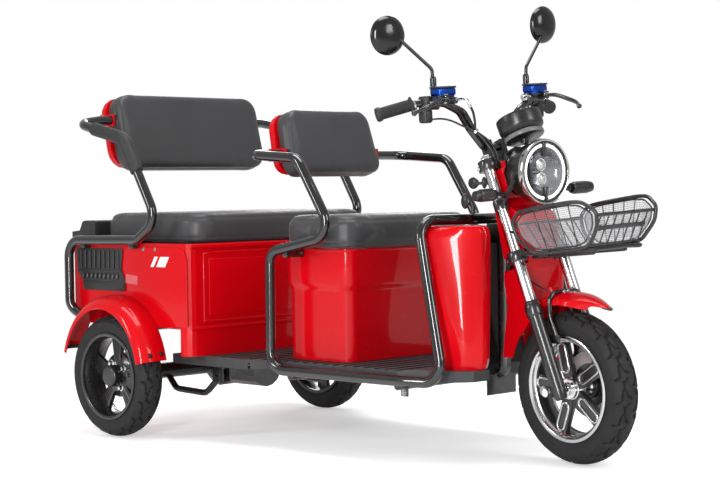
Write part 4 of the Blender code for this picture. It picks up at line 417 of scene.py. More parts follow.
def swept(path, radius, sides=10, cyclic=False, flat=1.0, up=None):
    """A round or flattened bar: a circle carried and extruded along a path."""
    path = [Vector(point) for point in path]
    count = len(path)
    radii = radius if isinstance(radius, (list, tuple)) else [radius] * count
    shape = bmesh.new()
    ring = bmesh.ops.create_circle(shape, segments=sides, radius=1.0)["verts"]
    first_edges = shape.edges[:]
    edges = first_edges
    placed = Matrix.Identity(4)
    normal = up
    for index, point in enumerate(path):
        if cyclic:
            direction = (path[(index + 1) % count] - path[index - 1]).normalized()
        else:
            direction = (path[min(index + 1, count - 1)] - path[max(index - 1, 0)]).normalized()
        if normal is None:
            normal = Vector((0, 0, 1)) if abs(direction.z) < 0.9 else Vector((1, 0, 0))
        normal = (normal - direction * normal.dot(direction)).normalized()
        across = direction.cross(normal)
        turn = Matrix((normal, across, direction)).transposed().to_4x4()
        target = (Matrix.Translation(point) @ turn
                  @ Matrix.Diagonal((radii[index], radii[index] * flat, 1.0, 1.0)))
        if index:
            grown = bmesh.ops.extrude_edge_only(shape, edges=edges)["geom"]
            ring = [part for part in grown if isinstance(part, bmesh.types.BMVert)]
            edges = [part for part in grown if isinstance(part, bmesh.types.BMEdge) and part.is_boundary]
        bmesh.ops.transform(shape, matrix=target @ placed.inverted(), verts=ring)
        placed = target
    if cyclic:
        bmesh.ops.bridge_loops(shape, edges=first_edges + edges)
    else:
        bmesh.ops.edgeloop_fill(shape, edges=first_edges)
        bmesh.ops.edgeloop_fill(shape, edges=edges)
    bmesh.ops.recalc_face_normals(shape, faces=shape.faces)
    return shape


def ball(centre, radius, sides=20):
    """A round knob."""
    shape = bmesh.new()
    bmesh.ops.create_uvsphere(shape, u_segments=sides, v_segments=sides // 2, radius=radius)
    bmesh.ops.translate(shape, vec=centre, verts=shape.verts)
    return shape


def smooth_route(points, pieces=6):
    """A smooth curve through the given points."""
    points = [Vector(point) for point in points]
    padded = [2 * points[0] - points[1]] + points + [2 * points[-1] - points[-2]]
    route = []
    for a, b, c, d in zip(padded, padded[1:], padded[2:], padded[3:]):
        for index in range(pieces):
            t = index / pieces
            route.append(0.5 * (2 * b + (c - a) * t + (2 * a - 5 * b + 4 * c - d) * t ** 2
                                + (3 * b - a - 3 * c + d) * t ** 3))
    route.append(points[-1])
    return route


def block(low, high, frame=None, bevel=0.0, segments=2):
    """A box between two corners with rounded edges, placed by a frame."""
    shape = bmesh.new()
    bmesh.ops.create_cube(shape, size=1.0)
    low, high = Vector(low), Vector(high)
    bmesh.ops.scale(shape, vec=high - low, verts=shape.verts)
    bmesh.ops.translate(shape, vec=(low + high) / 2, verts=shape.verts)
    if bevel:
        bmesh.ops.bevel(shape, geom=shape.edges[:], offset=bevel, segments=segments, profile=0.5,
                        affect="EDGES", material=-1)
    if frame is not None:
        bmesh.ops.transform(shape, matrix=frame, verts=shape.verts)
    return shape


def plate(outline, low, high, frame=None, bevel=0.0, segments=2):
    """A flat outline of (x, y) points between two heights, with rounded rims."""
    shape = bmesh.new()
    ring = [shape.verts.new((x, y, low)) for x, y in outline]
    face = shape.faces.new(ring)
    grown = bmesh.ops.extrude_face_region(shape, geom=[face])
    moved = [part for part in grown["geom"] if isinstance(part, bmesh.types.BMVert)]
    bmesh.ops.translate(shape, vec=(0, 0, high - low), verts=moved)
    bmesh.ops.recalc_face_normals(shape, faces=shape.faces)
    if bevel:
        rims = [edge for edge in shape.edges
                if abs(edge.verts[0].co.z - edge.verts[1].co.z) < 1e-7]
        bmesh.ops.bevel(shape, geom=rims, offset=bevel, segments=segments, profile=0.5,
                        affect="EDGES", material=-1)
    if frame is not None:
        bmesh.ops.transform(shape, matrix=frame, verts=shape.verts)
    return shape


def joined(*shapes):
    """Several bmeshes as one."""
    result = shapes[0]
    for shape in shapes[1:]:
        mesh = bpy.data.meshes.new("joining")
        shape.to_mesh(mesh)
        shape.free()
        result.from_mesh(mesh)
        bpy.data.meshes.remove(mesh)
    return result


def cap_screw(frame, radius, height):
    """A hexagon head with a rounded crown, standing on the frame's XY plane."""
    head = bmesh.new()
    bmesh.ops.create_cone(head, cap_ends=True, segments=6, radius1=radius, radius2=radius, depth=height)
    bmesh.ops.translate(head, vec=(0, 0, height / 2), verts=head.verts)
    crown = [edge for edge in head.edges if min(vert.co.z for vert in edge.verts) > height * 0.9]
    bmesh.ops.bevel(head, geom=crown, offset=height * 0.22, segments=2, profile=0.5, affect="EDGES",
                    material=-1)
    bmesh.ops.transform(head, matrix=frame, verts=head.verts)
    flange = radius * 1.35
    washer = [(0.0, -0.0003), (flange, -0.0003), (flange, height * 0.18), (0.0, height * 0.2)]
    return joined(head, spun(washer, frame, 20))


# Wheels
GROOVE_HALF, GROOVE_WALL, GROOVE_DEPTH = 0.0042, 0.0013, 0.0058
PITCH_STEPS = 32
FRONT_RADIUS, FRONT_WIDTH, FRONT_RIM = 0.205, 0.08, 0.136
REAR_RADIUS, REAR_WIDTH, REAR_RIM = 0.185, 0.083, 0.126
REAR_SIDE = 0.435
BEAD_INSET, FLANGE = 0.006, 0.005
SPOKES = 5
TREAD_LINES = (
    ((0.0, 0.54), (0.3, 0.46), (0.36, 0.62), (0.8, 0.66)),
    ((0.3, 0.46), (0.58, 0.34), (0.66, 0.14)),
    ((0.8, 0.66), (0.88, 0.86)),
    ((0.88, 0.24), (1.0, 0.4)),
)


def tread_depth(along_pitch, across, pitch_length, half_width):
    """How far a groove's floor lies below the tread, from 0 to 1."""
    nearest = 1.0
    for line in TREAD_LINES:
        for shift in (-1.0, 0.0, 1.0):
            for (s0, y0), (s1, y1) in zip(line, line[1:]):
                ax, ay = (s0 + shift) * pitch_length, y0 * half_width
                dx, dy = (s1 - s0) * pitch_length, (y1 - y0) * half_width
                px, py = along_pitch * pitch_length - ax, across - ay
                t = max(0.0, min(1.0, (px * dx + py * dy) / (dx * dx + dy * dy)))
                nearest = min(nearest, math.hypot(px - t * dx, py - t * dy))
    return max(0.0, min(1.0, (GROOVE_HALF - nearest) / GROOVE_WALL))


def tyre(name, axle, radius, width, rim_radius, pitches, body):
    """A tyre with a grooved tread, turned about the axle frame's Z."""
    half = width / 2
    seat = half - BEAD_INSET
    depth = radius - rim_radius
    crown = []
    crown_steps = 34
    shoulder_turn = math.radians(64)
    for index in range(crown_steps + 1):
        turn = shoulder_turn * (2 * index / crown_steps - 1)
        reach = math.sin(turn) / math.sin(shoulder_turn)
        drop = (1 - math.cos(turn)) / (1 - math.cos(shoulder_turn))
        crown.append((radius - 0.0012 - 0.3 * depth * drop, half * 0.93 * reach))
    side = [
        (radius - 0.36 * depth, half * 0.985), (radius - 0.46 * depth, half),
        (radius - 0.58 * depth, half * 0.995), (radius - 0.66 * depth, half * 0.975),
        (radius - 0.68 * depth, half * 0.985), (radius - 0.7 * depth, half * 0.97),
        (radius - 0.8 * depth, half * 0.935), (radius - 0.86 * depth, half * 0.905),
        (radius - 0.875 * depth, half * 0.915), (radius - 0.89 * depth, half * 0.895),
        (rim_radius + 0.0055, seat + 0.0008), (rim_radius + 0.0003, seat - 0.0003),
    ]
    profile = [(r, -y) for r, y in reversed(side)] + crown + side
    shape = spun(profile, Matrix.Identity(4), pitches * PITCH_STEPS)
    pitch_length = math.tau * radius / pitches
    lowest = radius - 0.34 * depth
    shaded_groove_verts = set()
    for vert in shape.verts:
        reach = math.hypot(vert.co.x, vert.co.y)
        if reach < lowest:
            continue
        turn = math.atan2(vert.co.y, vert.co.x) / math.tau * pitches
        share = (turn if vert.co.z > 0 else turn + 0.5) % 1.0
        depth_here = tread_depth(share, abs(vert.co.z), pitch_length, half)
        cut = GROOVE_DEPTH * depth_here
        vert.co.x *= (reach - cut) / reach
        vert.co.y *= (reach - cut) / reach
        if depth_here > 0.5:
            shaded_groove_verts.add(vert)
    # Faces on the groove floors take the darker rubber: painted shade in the grooves.
    for face in shape.faces:
        if all(vert in shaded_groove_verts for vert in face.verts):
            face.material_index = 1
    bmesh.ops.transform(shape, matrix=axle, verts=shape.verts)
    made = piece(name + "_tread", shape, RUBBER, body, 32.0, name)
    made.data.materials.append(GROOVE_SHADE_RUBBER)


def rear_axle_frame(side):
    """Axle frame of a rear wheel, whose Z points outwards."""
    turn = AXLE_TURN if side > 0 else AXLE_TURN @ Matrix.Rotation(math.pi, 4, "X")
    return TO_FRAME @ Matrix.Translation((0.0, side * REAR_SIDE, REAR_RADIUS)) @ turn


def rim_ring(radius, width, frame):
    """The rolled rim that carries the tyre, with a stepped well."""
    seat = width / 2 - BEAD_INSET
    lip = seat + FLANGE
    profile = [
        (radius, -seat), (radius + 0.005, -seat), (radius + 0.005, -lip), (radius - 0.002, -lip - 0.0006),
        (radius - 0.005, -lip + 0.001), (radius - 0.006, -seat + 0.006), (radius - 0.012, -seat + 0.014),
        (radius - 0.013, 0.0), (radius - 0.012, seat - 0.014), (radius - 0.006, seat - 0.006),
        (radius - 0.005, lip - 0.001), (radius - 0.002, lip + 0.0006), (radius + 0.005, lip),
        (radius + 0.005, seat), (radius, seat),
    ]
    return spun(profile, frame, 112)


def slot_outline(root, tip, half, arc=8):
    """A long rounded loop from root to tip along X."""
    points = []
    for centre, first in ((tip - half, -math.pi / 2), (root + half, math.pi / 2)):
        for index in range(arc + 1):
            turn = first + math.pi * index / arc
            points.append((centre + half * math.cos(turn), half * math.sin(turn)))
    return points


def front_wheel():
    tyre("front_tyre", FRONT_AXLE, FRONT_RADIUS, FRONT_WIDTH, FRONT_RIM, 19, "front_wheel")
    rim = rim_ring(FRONT_RIM, FRONT_WIDTH, FRONT_AXLE)
    spokes, edges = [], []
    tip = FRONT_RIM - 0.013
    outline = [(0.024, -0.016), (0.05, -0.021), (tip + 0.003, -0.022), (tip + 0.003, 0.022),
               (0.05, 0.021), (0.024, 0.016)]
    for index in range(SPOKES):
        turn = FRONT_AXLE @ Matrix.Rotation(math.radians(40.0) + math.tau * index / SPOKES, 4, "Z")
        spokes.append(plate(outline, -0.0215, -0.006, turn, 0.0025))
        for face in (-0.0232, -0.0043):
            ring = [turn @ Vector((x, y, face)) for x, y in slot_outline(0.043, tip - 0.001, 0.013)]
            edges.append(swept(ring, 0.0034, 12, cyclic=True))
        spokes.append(plate(slot_outline(0.046, tip - 0.004, 0.0098), -0.0219, -0.0056, turn))
    piece("front_rim_casting", joined(rim, *spokes), BLACK_METAL, "front_wheel",
          stands_for="front_rim")
    piece("front_rim_spoke_edges", joined(*edges), POLISHED, "front_wheel")
    lip = FRONT_WIDTH / 2 - BEAD_INSET + FLANGE
    section = ((0.0058, 0.0002), (0.0035, 0.0014), (-0.0025, 0.0012), (-0.0058, -0.001), (-0.0072, -0.006),
               (-0.0085, -0.0085), (-0.012, -0.011), (-0.0126, -0.0165), (-0.01, -0.0165),
               (-0.004, -0.004), (0.003, -0.001))
    lips = [spun([(FRONT_RIM + out, way * (lip + beyond)) for out, beyond in section], FRONT_AXLE, 112)
            for way in (-1, 1)]
    piece("front_rim_polished_lips", joined(*lips), POLISHED, "front_wheel")
    hub = spun([
        (0.0068, -0.047), (0.015, -0.047), (0.0175, -0.0455), (0.0185, -0.044), (0.0185, -0.033),
        (0.026, -0.0325), (0.0275, -0.031), (0.0275, -0.023), (0.03, -0.0215), (0.03, -0.004),
        (0.024, 0.0), (0.023, 0.03), (0.027, 0.034), (0.027, 0.042), (0.0068, 0.047),
    ], FRONT_AXLE, 64)
    piece("front_hub_sleeve", hub, CHROME, "front_wheel", 30.0)
    disc = spun([(0.056, 0.0522), (0.09, 0.0522), (0.09, 0.056), (0.056, 0.056)], FRONT_AXLE, 90)
    carrier = spun([(0.0068, 0.043), (0.034, 0.043), (0.036, 0.0515), (0.058, 0.0516), (0.058, 0.0566),
                    (0.034, 0.0566), (0.03, 0.06), (0.0068, 0.06)], FRONT_AXLE, 48)
    piece("front_disc_carrier", carrier, BLACK_METAL, "front_wheel")
    piece("front_brake_disc", disc, DISC_STEEL, "front_wheel")


def rear_wheel(name, side):
    axle = rear_axle_frame(side)
    body = "rear_wheel_" + name
    tyre("rear_tyre_" + name, axle, REAR_RADIUS, REAR_WIDTH, REAR_RIM, 17, body)
    rim = rim_ring(REAR_RIM, REAR_WIDTH, axle)
    spokes = []
    tip = REAR_RIM - 0.012
    outline = [(0.03, -0.022), (0.06, -0.017), (tip, -0.026), (tip, 0.026), (0.06, 0.017), (0.03, 0.022)]
    for index in range(SPOKES):
        turn = axle @ Matrix.Rotation(math.tau * index / SPOKES + 0.3, 4, "Z")
        spokes.append(plate(outline, -0.012, 0.002, turn, 0.003))
        for offset in (-0.0085, 0.0, 0.0085):
            ridge = [turn @ Vector((x, offset * (0.7 + 6 * (x - 0.05)), 0.0022))
                     for x in (0.048, 0.075, tip - 0.004)]
            spokes.append(swept(ridge, 0.0017, 8))
    hub = spun([
        (0.0, 0.037), (0.026, 0.037), (0.03, 0.0345), (0.032, 0.03), (0.033, 0.004),
        (0.048, 0.003), (0.052, -0.001), (0.066, -0.006), (0.068, -0.04), (0.064, -0.066),
        (0.0128, -0.066), (0.0128, 0.015), (0.0, 0.015),
    ], axle, 72)
    piece("rear_rim_casting_" + name, joined(rim, hub, *spokes), BLACK_METAL, body,
          stands_for="rear_rim_" + name)
    cap = spun([(0.0, 0.0384), (0.0235, 0.0384), (0.025, 0.0376), (0.0258, 0.036), (0.0, 0.036)],
               axle, 48)
    piece("rear_hub_cap_" + name, cap, DECK, body)
    nuts = []
    for index in range(4):
        spot = Matrix.Rotation(math.tau * index / 4 + 0.55, 4, "Z") @ Vector((0.0425, 0.0, 0.0028))
        nuts.append(cap_screw(axle @ Matrix.Translation(spot), 0.0075, 0.0125))
    piece("rear_wheel_nuts_" + name, joined(*nuts), CHROME, body)
    section = ((0.0052, 0.0406), (0.002, 0.042), (-0.003, 0.0412), (-0.005, 0.0392), (0.004, 0.0392))
    rings = [spun([(REAR_RIM + out, way * beyond) for out, beyond in section], axle) for way in (-1, 1)]
    piece("rear_rim_edges_" + name, joined(*rings), BLACK_METAL, body)


front_wheel()
for name, side in SIDES:
    rear_wheel(name, side)


# Tubes
GUARD_RADIUS = 0.0145
DRIVER_GUARD = (
    ((0.485, 0.1963, 0.841), 0.0), ((0.485, GUARD_SIDE, 0.841), 0.045), ((0.68, GUARD_SIDE, 0.827), 0.055),
    ((0.822, GUARD_SIDE, 0.612), 0.05), ((0.56, GUARD_SIDE, 0.562), 0.04),
    ((0.556, GUARD_SIDE, 0.226), 0.055), ((1.075, GUARD_SIDE, 0.226), 0.3), ((1.205, 0.296, 0.226), 0.05),
    ((1.1, 0.272, 0.652), 0.055), ((1.13, 0.11, 0.652), 0.06), ((1.13, 0.00015, 0.652), 0.0),
)
REAR_GUARD = (
    ((-0.188, 0.3023, 0.965), 0.0), ((-0.188, 0.332, 0.965), 0.1), ((-0.183, ARMREST_SIDE, 0.952), 0.05),
    ((0.045, ARMREST_SIDE, 0.9), 0.06), ((0.194, ARMREST_SIDE, 0.655), 0.055),
    ((0.1, ARMREST_SIDE, 0.596), 0.045), ((-0.244, ARMREST_SIDE, 0.593), 0.055),
    ((-0.244, ARMREST_SIDE, 0.385), 0.045), ((-0.205, 0.4061, 0.352), 0.0),
)


def guard_loop(corners, side):
    """A bent tube through rounded corners given on the left."""
    path = rounded([(mirrored(point, side), bend) for point, bend in corners])
    return swept(on_vehicle(path), GUARD_RADIUS, 24)


def facing_out(x, y, z, side):
    """A frame on the vehicle whose Z points away to one side."""
    turn = Matrix.Rotation(-side * math.pi / 2, 4, "X")
    return TO_FRAME @ Matrix.Translation((x, side * y, z)) @ turn


def tab(x, y, z, side, bevel):
    """A small welded block between two (low, high) limits on each axis, given on the left."""
    low, high = sorted((side * y[0], side * y[1]))
    return block((x[0], low, z[0]), (x[1], high, z[1]), TO_FRAME, bevel)


def guards(name, side):
    """Bent guard tubes beside the driver and the passengers, with their tabs and bolts."""
    seat_tab = tab((0.612, 0.632), (0.2456, GUARD_SIDE), (0.547, 0.5712), side, 0.003)
    foot_tab = tab((1.068, 1.094), (0.309, 0.3145), (0.186, 0.224), side, 0.002)
    piece("driver_guard_tube_" + name, joined(guard_loop(DRIVER_GUARD, side), seat_tab, foot_tab), TUBE,
          "frame", stands_for="driver_guard_" + name)
    tabs = [tab((x - 0.01, x + 0.01), (BODY_SIDE, 0.425), (0.569, 0.583), side, 0.002)
            for x in (-0.18, 0.06)]
    piece("rear_guard_tube_" + name, joined(guard_loop(REAR_GUARD, side), *tabs), TUBE, "frame",
          stands_for="rear_guard_" + name)
    bolts = [cap_screw(facing_out(1.081, 0.3145, 0.1965, side), 0.0065, 0.005),
             cap_screw(TO_FRAME @ Matrix.Translation((0.622, side * 0.29, 0.5712)), 0.006, 0.004)]
    bolts += [cap_screw(facing_out(x, BODY_SIDE, 0.567, side), 0.0055, 0.004) for x in (0.095, 0.15)]
    piece("guard_bolts_" + name, joined(*bolts), ALLOY, "frame")


def armrest(name, side):
    """A padded sleeve round the bend of the rear guard tube, thinner at its two ends."""
    rear, bend, front = (Vector((x, side * ARMREST_SIDE, z))
                         for x, z in ((-0.183, 0.952), (0.045, 0.9), (0.194, 0.655)))
    path = on_vehicle(rounded([(rear.lerp(bend, 0.34), 0.0), (bend, 0.06), (bend.lerp(front, 0.42), 0.0)]))
    full = 0.0205
    ends = [0.0152, 0.019, 0.0203, full]
    path = ([path[0].lerp(path[1], share) for share in (0.0, 0.02, 0.05, 0.1)] + path[1:-1]
            + [path[-2].lerp(path[-1], share) for share in (0.85, 0.93, 0.97, 1.0)])
    radii = ends + [full] * (len(path) - 2 * len(ends)) + ends[::-1]
    piece("armrest_sleeve_" + name, swept(path, radii, 28), SOFT_RUBBER, "frame",
          stands_for="armrest_pad_" + name)


for name, side in SIDES:
    guards(name, side)
    armrest(name, side)


# Handlebar and controls
BAR = (((1.136, 0.035, 0.846), 0.022), ((1.119, 0.07, 0.9), 0.045), ((1.126, 0.112, 0.95), 0.045),
       ((1.118, 0.158, 0.974), 0.05), ((1.086, 0.222, 0.977), 0.08), ((1.033, 0.318, 0.951), 0.0))
LEVER_PIVOT = (1.156, 0.184, 0.984)
MIRROR_HEIGHT = {"right": 1.1605, "left": 1.187}


def handlebar():
    right = [(mirrored(point, -1), bend) for point, bend in reversed(BAR)]
    piece("handlebar_tube", swept(steered(rounded(right + list(BAR))), 0.011, 24), TUBE, "steering",
          stands_for="handlebar")


def grip(node, side, body):
    """A ribbed rubber grip on the end of the bar, and its polished collar."""
    end, bend = mirrored(BAR[5][0], side), mirrored(BAR[4][0], side)
    start = bend + (end - bend).normalized() * 0.016
    length = (end - start).length
    frame_here = STEERED @ along(start, end)
    profile = [(0.0, 0.0), (0.021, 0.0), (0.0225, 0.0012), (0.0225, 0.0042), (0.0205, 0.0056),
               (0.0172, 0.008)]
    height, rib_pitch = 0.01, 0.0044
    while height < length - 0.016:
        profile += [(0.0156, height), (0.0168, height + 0.0007), (0.0168, height + 0.0028),
                    (0.0156, height + 0.0035)]
        height += rib_pitch
    profile += [(0.0166, length - 0.01), (0.0194, length - 0.005), (0.0196, length + 0.002),
                (0.018, length + 0.006), (0.0, length + 0.006)]
    piece(node + "_rubber", spun(profile, frame_here, 40), SOFT_RUBBER, body, 30.0, node)
    collar = spun([(0.0, -0.0075), (0.0165, -0.0075), (0.0178, -0.006), (0.0178, -0.0012), (0.0165, -0.0003),
                   (0.0, -0.0003)], frame_here, 40)
    piece(node + "_collar", collar, POLISHED, "steering")


def bar_box(low, high, side, bevel, segments=4):
    """A rounded box on the steering between two corners given on the left."""
    inner, outer = sorted((side * low[1], side * high[1]))
    return block((low[0], inner, low[2]), (high[0], outer, high[2]), STEERED, bevel, segments)


def bar_control(name, side):
    """Clamp, master cylinder and switch housing of one side of the bar, with their small fittings."""
    clamp = spun([(0.0, 0.0), (0.017, 0.0), (0.0188, 0.0018), (0.0188, 0.018), (0.017, 0.0185),
                  (0.017, 0.023), (0.0188, 0.0236), (0.0188, 0.04), (0.017, 0.0418), (0.0, 0.0418)],
                 steered_axis((1.1115, 0.171, 0.9746), (1.0925, 0.209, 0.9764), side), 40)
    tube = spun([(0.0, -0.004), (0.0095, -0.004), (0.012, -0.001), (0.0122, 0.014), (0.0112, 0.018),
                 (0.0112, 0.05), (0.0122, 0.054), (0.0122, 0.062), (0.01, 0.066), (0.0, 0.066)],
                steered_axis((1.129, 0.136, 0.98), (1.129, 0.206, 0.98), side), 36)
    foot = bar_box((1.112, 0.146, 0.984), (1.148, 0.196, 0.9935), side, 0.003)
    ears = [bar_box((1.132, 0.173, 0.9845 + rise - 0.0022), (1.163, 0.1935, 0.9845 + rise + 0.0022), side,
                    0.0015) for rise in (-0.008, 0.008)]
    upper = bar_box((1.081, 0.196, 0.953), (1.118, 0.2205, 0.9945), side, 0.007)
    pod = bar_box((1.0805, 0.1925, 0.9215), (1.1135, 0.2215, 0.96), side, 0.008)
    stub = spun([(0.0, 0.0), (0.0085, 0.0), (0.0085, 0.024), (0.007, 0.0255), (0.007, 0.028),
                 (0.0088, 0.0295), (0.0088, 0.0335), (0.0, 0.0335)],
                steered_spot((1.094, 0.172, 0.972), side), 6)
    piece("bar_control_body_" + name, joined(clamp, tube, foot, *ears, upper, pod, stub), PLASTIC,
          "steering", stands_for="bar_control_" + name)
    pot = bar_box((1.1085, 0.1405, 0.993), (1.1515, 0.1995, 1.0135), side, 0.0055, 5)
    waist = bar_box((1.1115, 0.144, 0.989), (1.149, 0.196, 0.996), side, 0.003, 3)
    piece("brake_reservoir_" + name, joined(pot, waist), BLUE, "steering")
    lid = bar_box((1.108, 0.14, 1.0128), (1.152, 0.2, 1.018), side, 0.0018, 2)
    piece("reservoir_lid_" + name, lid, PLASTIC, "steering")
    fittings = [cap_screw(steered_spot((1.13, y, 1.018), side), 0.0028, 0.0018) for y in (0.147, 0.193)]
    banjo = spun([(0.0, 0.0), (0.0088, 0.0), (0.01, 0.0012), (0.01, 0.0085), (0.0088, 0.0097), (0.006, 0.01),
                  (0.006, 0.013), (0.0, 0.013)],
                 steered_axis((1.129, 0.133, 0.98), (1.129, 0.06, 0.98), side), 28)
    arm = swept(steered(((1.129, 0.127, 0.98), (1.143, 0.1225, 0.9822), (1.155, 0.119, 0.9832),
                         (1.163, 0.117, 0.98)), side), 0.0042, 12)
    pin = spun([(0.0, -0.012), (0.0062, -0.012), (0.007, -0.0105), (0.0035, -0.01), (0.0035, 0.01),
                (0.007, 0.0105), (0.0062, 0.0125), (0.0, 0.0125)],
               steered_spot(LEVER_PIVOT, side), 20)
    bolts = [cap_screw(steered_axis((1.112, y, 0.976), (1.2, y - 0.01, 0.985), side)
                       @ Matrix.Translation((0, 0, 0.005)), 0.0042, 0.005) for y in (0.176, 0.203)]
    buttons = [spun([(0.0, 0.0), (0.005, 0.0), (0.005, 0.003), (0.0038, 0.0042), (0.0, 0.0045)],
                    steered_axis((1.0815, 0.2065, z), (0.9, 0.2065, z), side), 20) for z in (0.9345, 0.949)]
    piece("control_fittings_" + name, joined(*fittings, banjo, arm, pin, *bolts), CHROME, "steering")
    # The right-hand buttons take the red lens finish, which glows faintly: painted light on buttons that are
    # no lamp.
    piece("switch_buttons_" + name, joined(*buttons), RED_LENS if side < 0 else ALLOY, "steering")


def brake_lever(name, side):
    """A flattened blade with a ball end, turning on an eye."""
    route = steered(smooth_route([mirrored(point, side) for point in (
        (1.158, 0.19, 0.984), (1.17, 0.215, 0.982), (1.18, 0.25, 0.97), (1.18, 0.28, 0.96),
        (1.167, 0.305, 0.949))], 10))
    radii = [0.005 + 0.0012 * math.sin(math.pi * index / (len(route) - 1)) for index in range(len(route))]
    blade = swept(route, radii, 16, flat=0.62, up=Vector((0, 0, 1)))
    eye = spun([(0.0042, -0.0052), (0.0075, -0.0052), (0.0085, -0.004), (0.0085, 0.004), (0.0075, 0.0052),
                (0.0042, 0.0052)], steered_spot(LEVER_PIVOT, side), 28)
    piece("brake_lever_blade_" + name, joined(blade, eye, ball(route[-1], 0.0076)), BLACK_METAL,
          "brake_lever_" + name, stands_for="brake_lever_" + name)


def mirror(name, side):
    """A round mirror on a bent stem; the two heads stand at different heights."""
    foot = mirrored((1.094, 0.172, 1.006), side)
    shoulder, elbow, head_joint = (mirrored(point, side) for point in (
        (1.094, 0.174, 1.066), (1.068, 0.262, 1.15), (1.058, 0.288, 1.164)))
    stem = swept(steered(rounded([(foot + Vector((0, 0, 0.004)), 0.0), (shoulder, 0.02), (elbow, 0.02),
                                  (head_joint, 0.0)])), 0.0048, 16)
    sleeve = spun([(0.0, 0.0002), (0.0092, 0.0002), (0.0092, 0.009), (0.0078, 0.01), (0.0078, 0.013),
                   (0.009, 0.014), (0.009, 0.034), (0.007, 0.04), (0.0, 0.04)], steered_spot(foot), 20)
    centre = Vector((1.052, side * 0.288, MIRROR_HEIGHT[name]))
    turn = STEERED @ along(centre, centre + Vector((-1.0, -side * 0.12, 0.06)))
    reach = 0.053
    back = [(0.0, -0.0225), (0.012, -0.022), (0.024, -0.0205), (0.034, -0.0175), (0.0425, -0.013),
            (0.0485, -0.0085), (reach - 0.0008, -0.003), (reach, 0.0), (reach, 0.003),
            (reach - 0.0014, 0.0056), (reach - 0.004, 0.006), (reach - 0.0048, 0.0048), (0.0, 0.0048)]
    head = spun(back, turn, 72)
    socket = ball(STEERED @ head_joint, 0.0078)
    piece("mirror_housing_" + name, joined(stem, sleeve, head, socket), GLOSS_PLASTIC, "mirror_" + name,
          stands_for="mirror_" + name)
    edge = reach - 0.0052
    glass = spun([(0.0, 0.0049), (edge, 0.0049), (edge, 0.0055), (0.02, 0.0062), (0.0, 0.0063)], turn, 72)
    piece("mirror_glass_" + name, glass, MIRROR_GLASS, "mirror_" + name)


handlebar()
grip("left_grip", 1, "steering")
grip("throttle_grip", -1, "throttle")
for name, side in SIDES:
    bar_control(name, side)
    brake_lever(name, side)
    mirror(name, side)


def steered_cable(points, radius, sides=10):
    """A cable through given points on the steering."""
    return swept(steered(smooth_route(points)), radius, sides)


def cables():
    """Switch wires, brake hoses and their tie, from the bar to the fork."""
    tie = (1.165, -0.089, 0.893)
    down = [(1.1819, -0.072, 0.8683), (1.1984, -0.06, 0.8349), (1.2056, -0.058, 0.7969),
            (1.2075, -0.058, 0.7375), (1.2134, -0.06, 0.7052), (1.2277, -0.062, 0.6514),
            (1.2576, -0.062, 0.5711)]

    def beside(shift_x, shift_y):
        """The shared way down to the fork, a little to one side."""
        return [(x + shift_x, y + shift_y, z) for x, y, z in down]

    wires = joined(
        steered_cable([(1.1, -0.207, 0.93), (1.1283, -0.18, 0.9315), (1.1381, -0.15, 0.924),
                       (1.1455, -0.118, 0.9091), (1.166, -0.094, 0.8939)] + down, 0.0026),
        steered_cable([(1.148, -0.165, 0.97), (1.1633, -0.145, 0.9577), (1.162, -0.12, 0.9382),
                       (1.1622, -0.1, 0.9159), (1.163, -0.09, 0.896)]
                      + beside(0.004, 0.006), 0.0024),
        steered_cable([(1.14, -0.15, 0.97), (1.1566, -0.125, 0.9546), (1.1568, -0.105, 0.9324),
                       (1.1634, -0.086, 0.8938)] + beside(-0.001, 0.01), 0.0024))
    piece("bar_wires", wires, HOSE, "steering", stands_for="steering_loom")
    ferrule = steered_cable([(1.163, -0.117, 0.98), (1.1678, -0.113, 0.97), (1.1689, -0.1085, 0.959)],
                            0.0042, 14)
    ring = spun([(0.0052, -0.0035), (0.0078, -0.0035), (0.0082, 0.0), (0.0078, 0.0035), (0.0052, 0.0035)],
                steered_axis(tie, down[0]), 20)
    piece("hose_fittings", joined(ferrule, ring), CHROME, "steering")
    hose = steered_cable([(1.1689, -0.1085, 0.96), (1.1686, -0.1, 0.9453), (1.1662, -0.093, 0.9209),
                          (1.1648, -0.089, 0.8938)] + beside(0.002, -0.006), 0.0034, 12)
    far = joined(*[steered_cable(route, 0.003, 10) for route in (
        [(1.163, 0.117, 0.98), (1.171, 0.105, 0.962), (1.18, 0.09, 0.93), (1.186, 0.074, 0.894),
         (1.196, 0.062, 0.85), (1.2075, 0.056, 0.79), (1.2134, 0.058, 0.7052), (1.2576, 0.06, 0.5711)],
        [(1.1, 0.207, 0.93), (1.13, 0.18, 0.928), (1.15, 0.13, 0.912), (1.172, 0.09, 0.89),
         (1.196, 0.068, 0.85), (1.203, 0.062, 0.79), (1.21, 0.064, 0.7052), (1.253, 0.066, 0.5711)])])
    piece("brake_hoses", joined(hose, far), HOSE, "steering")


cables()


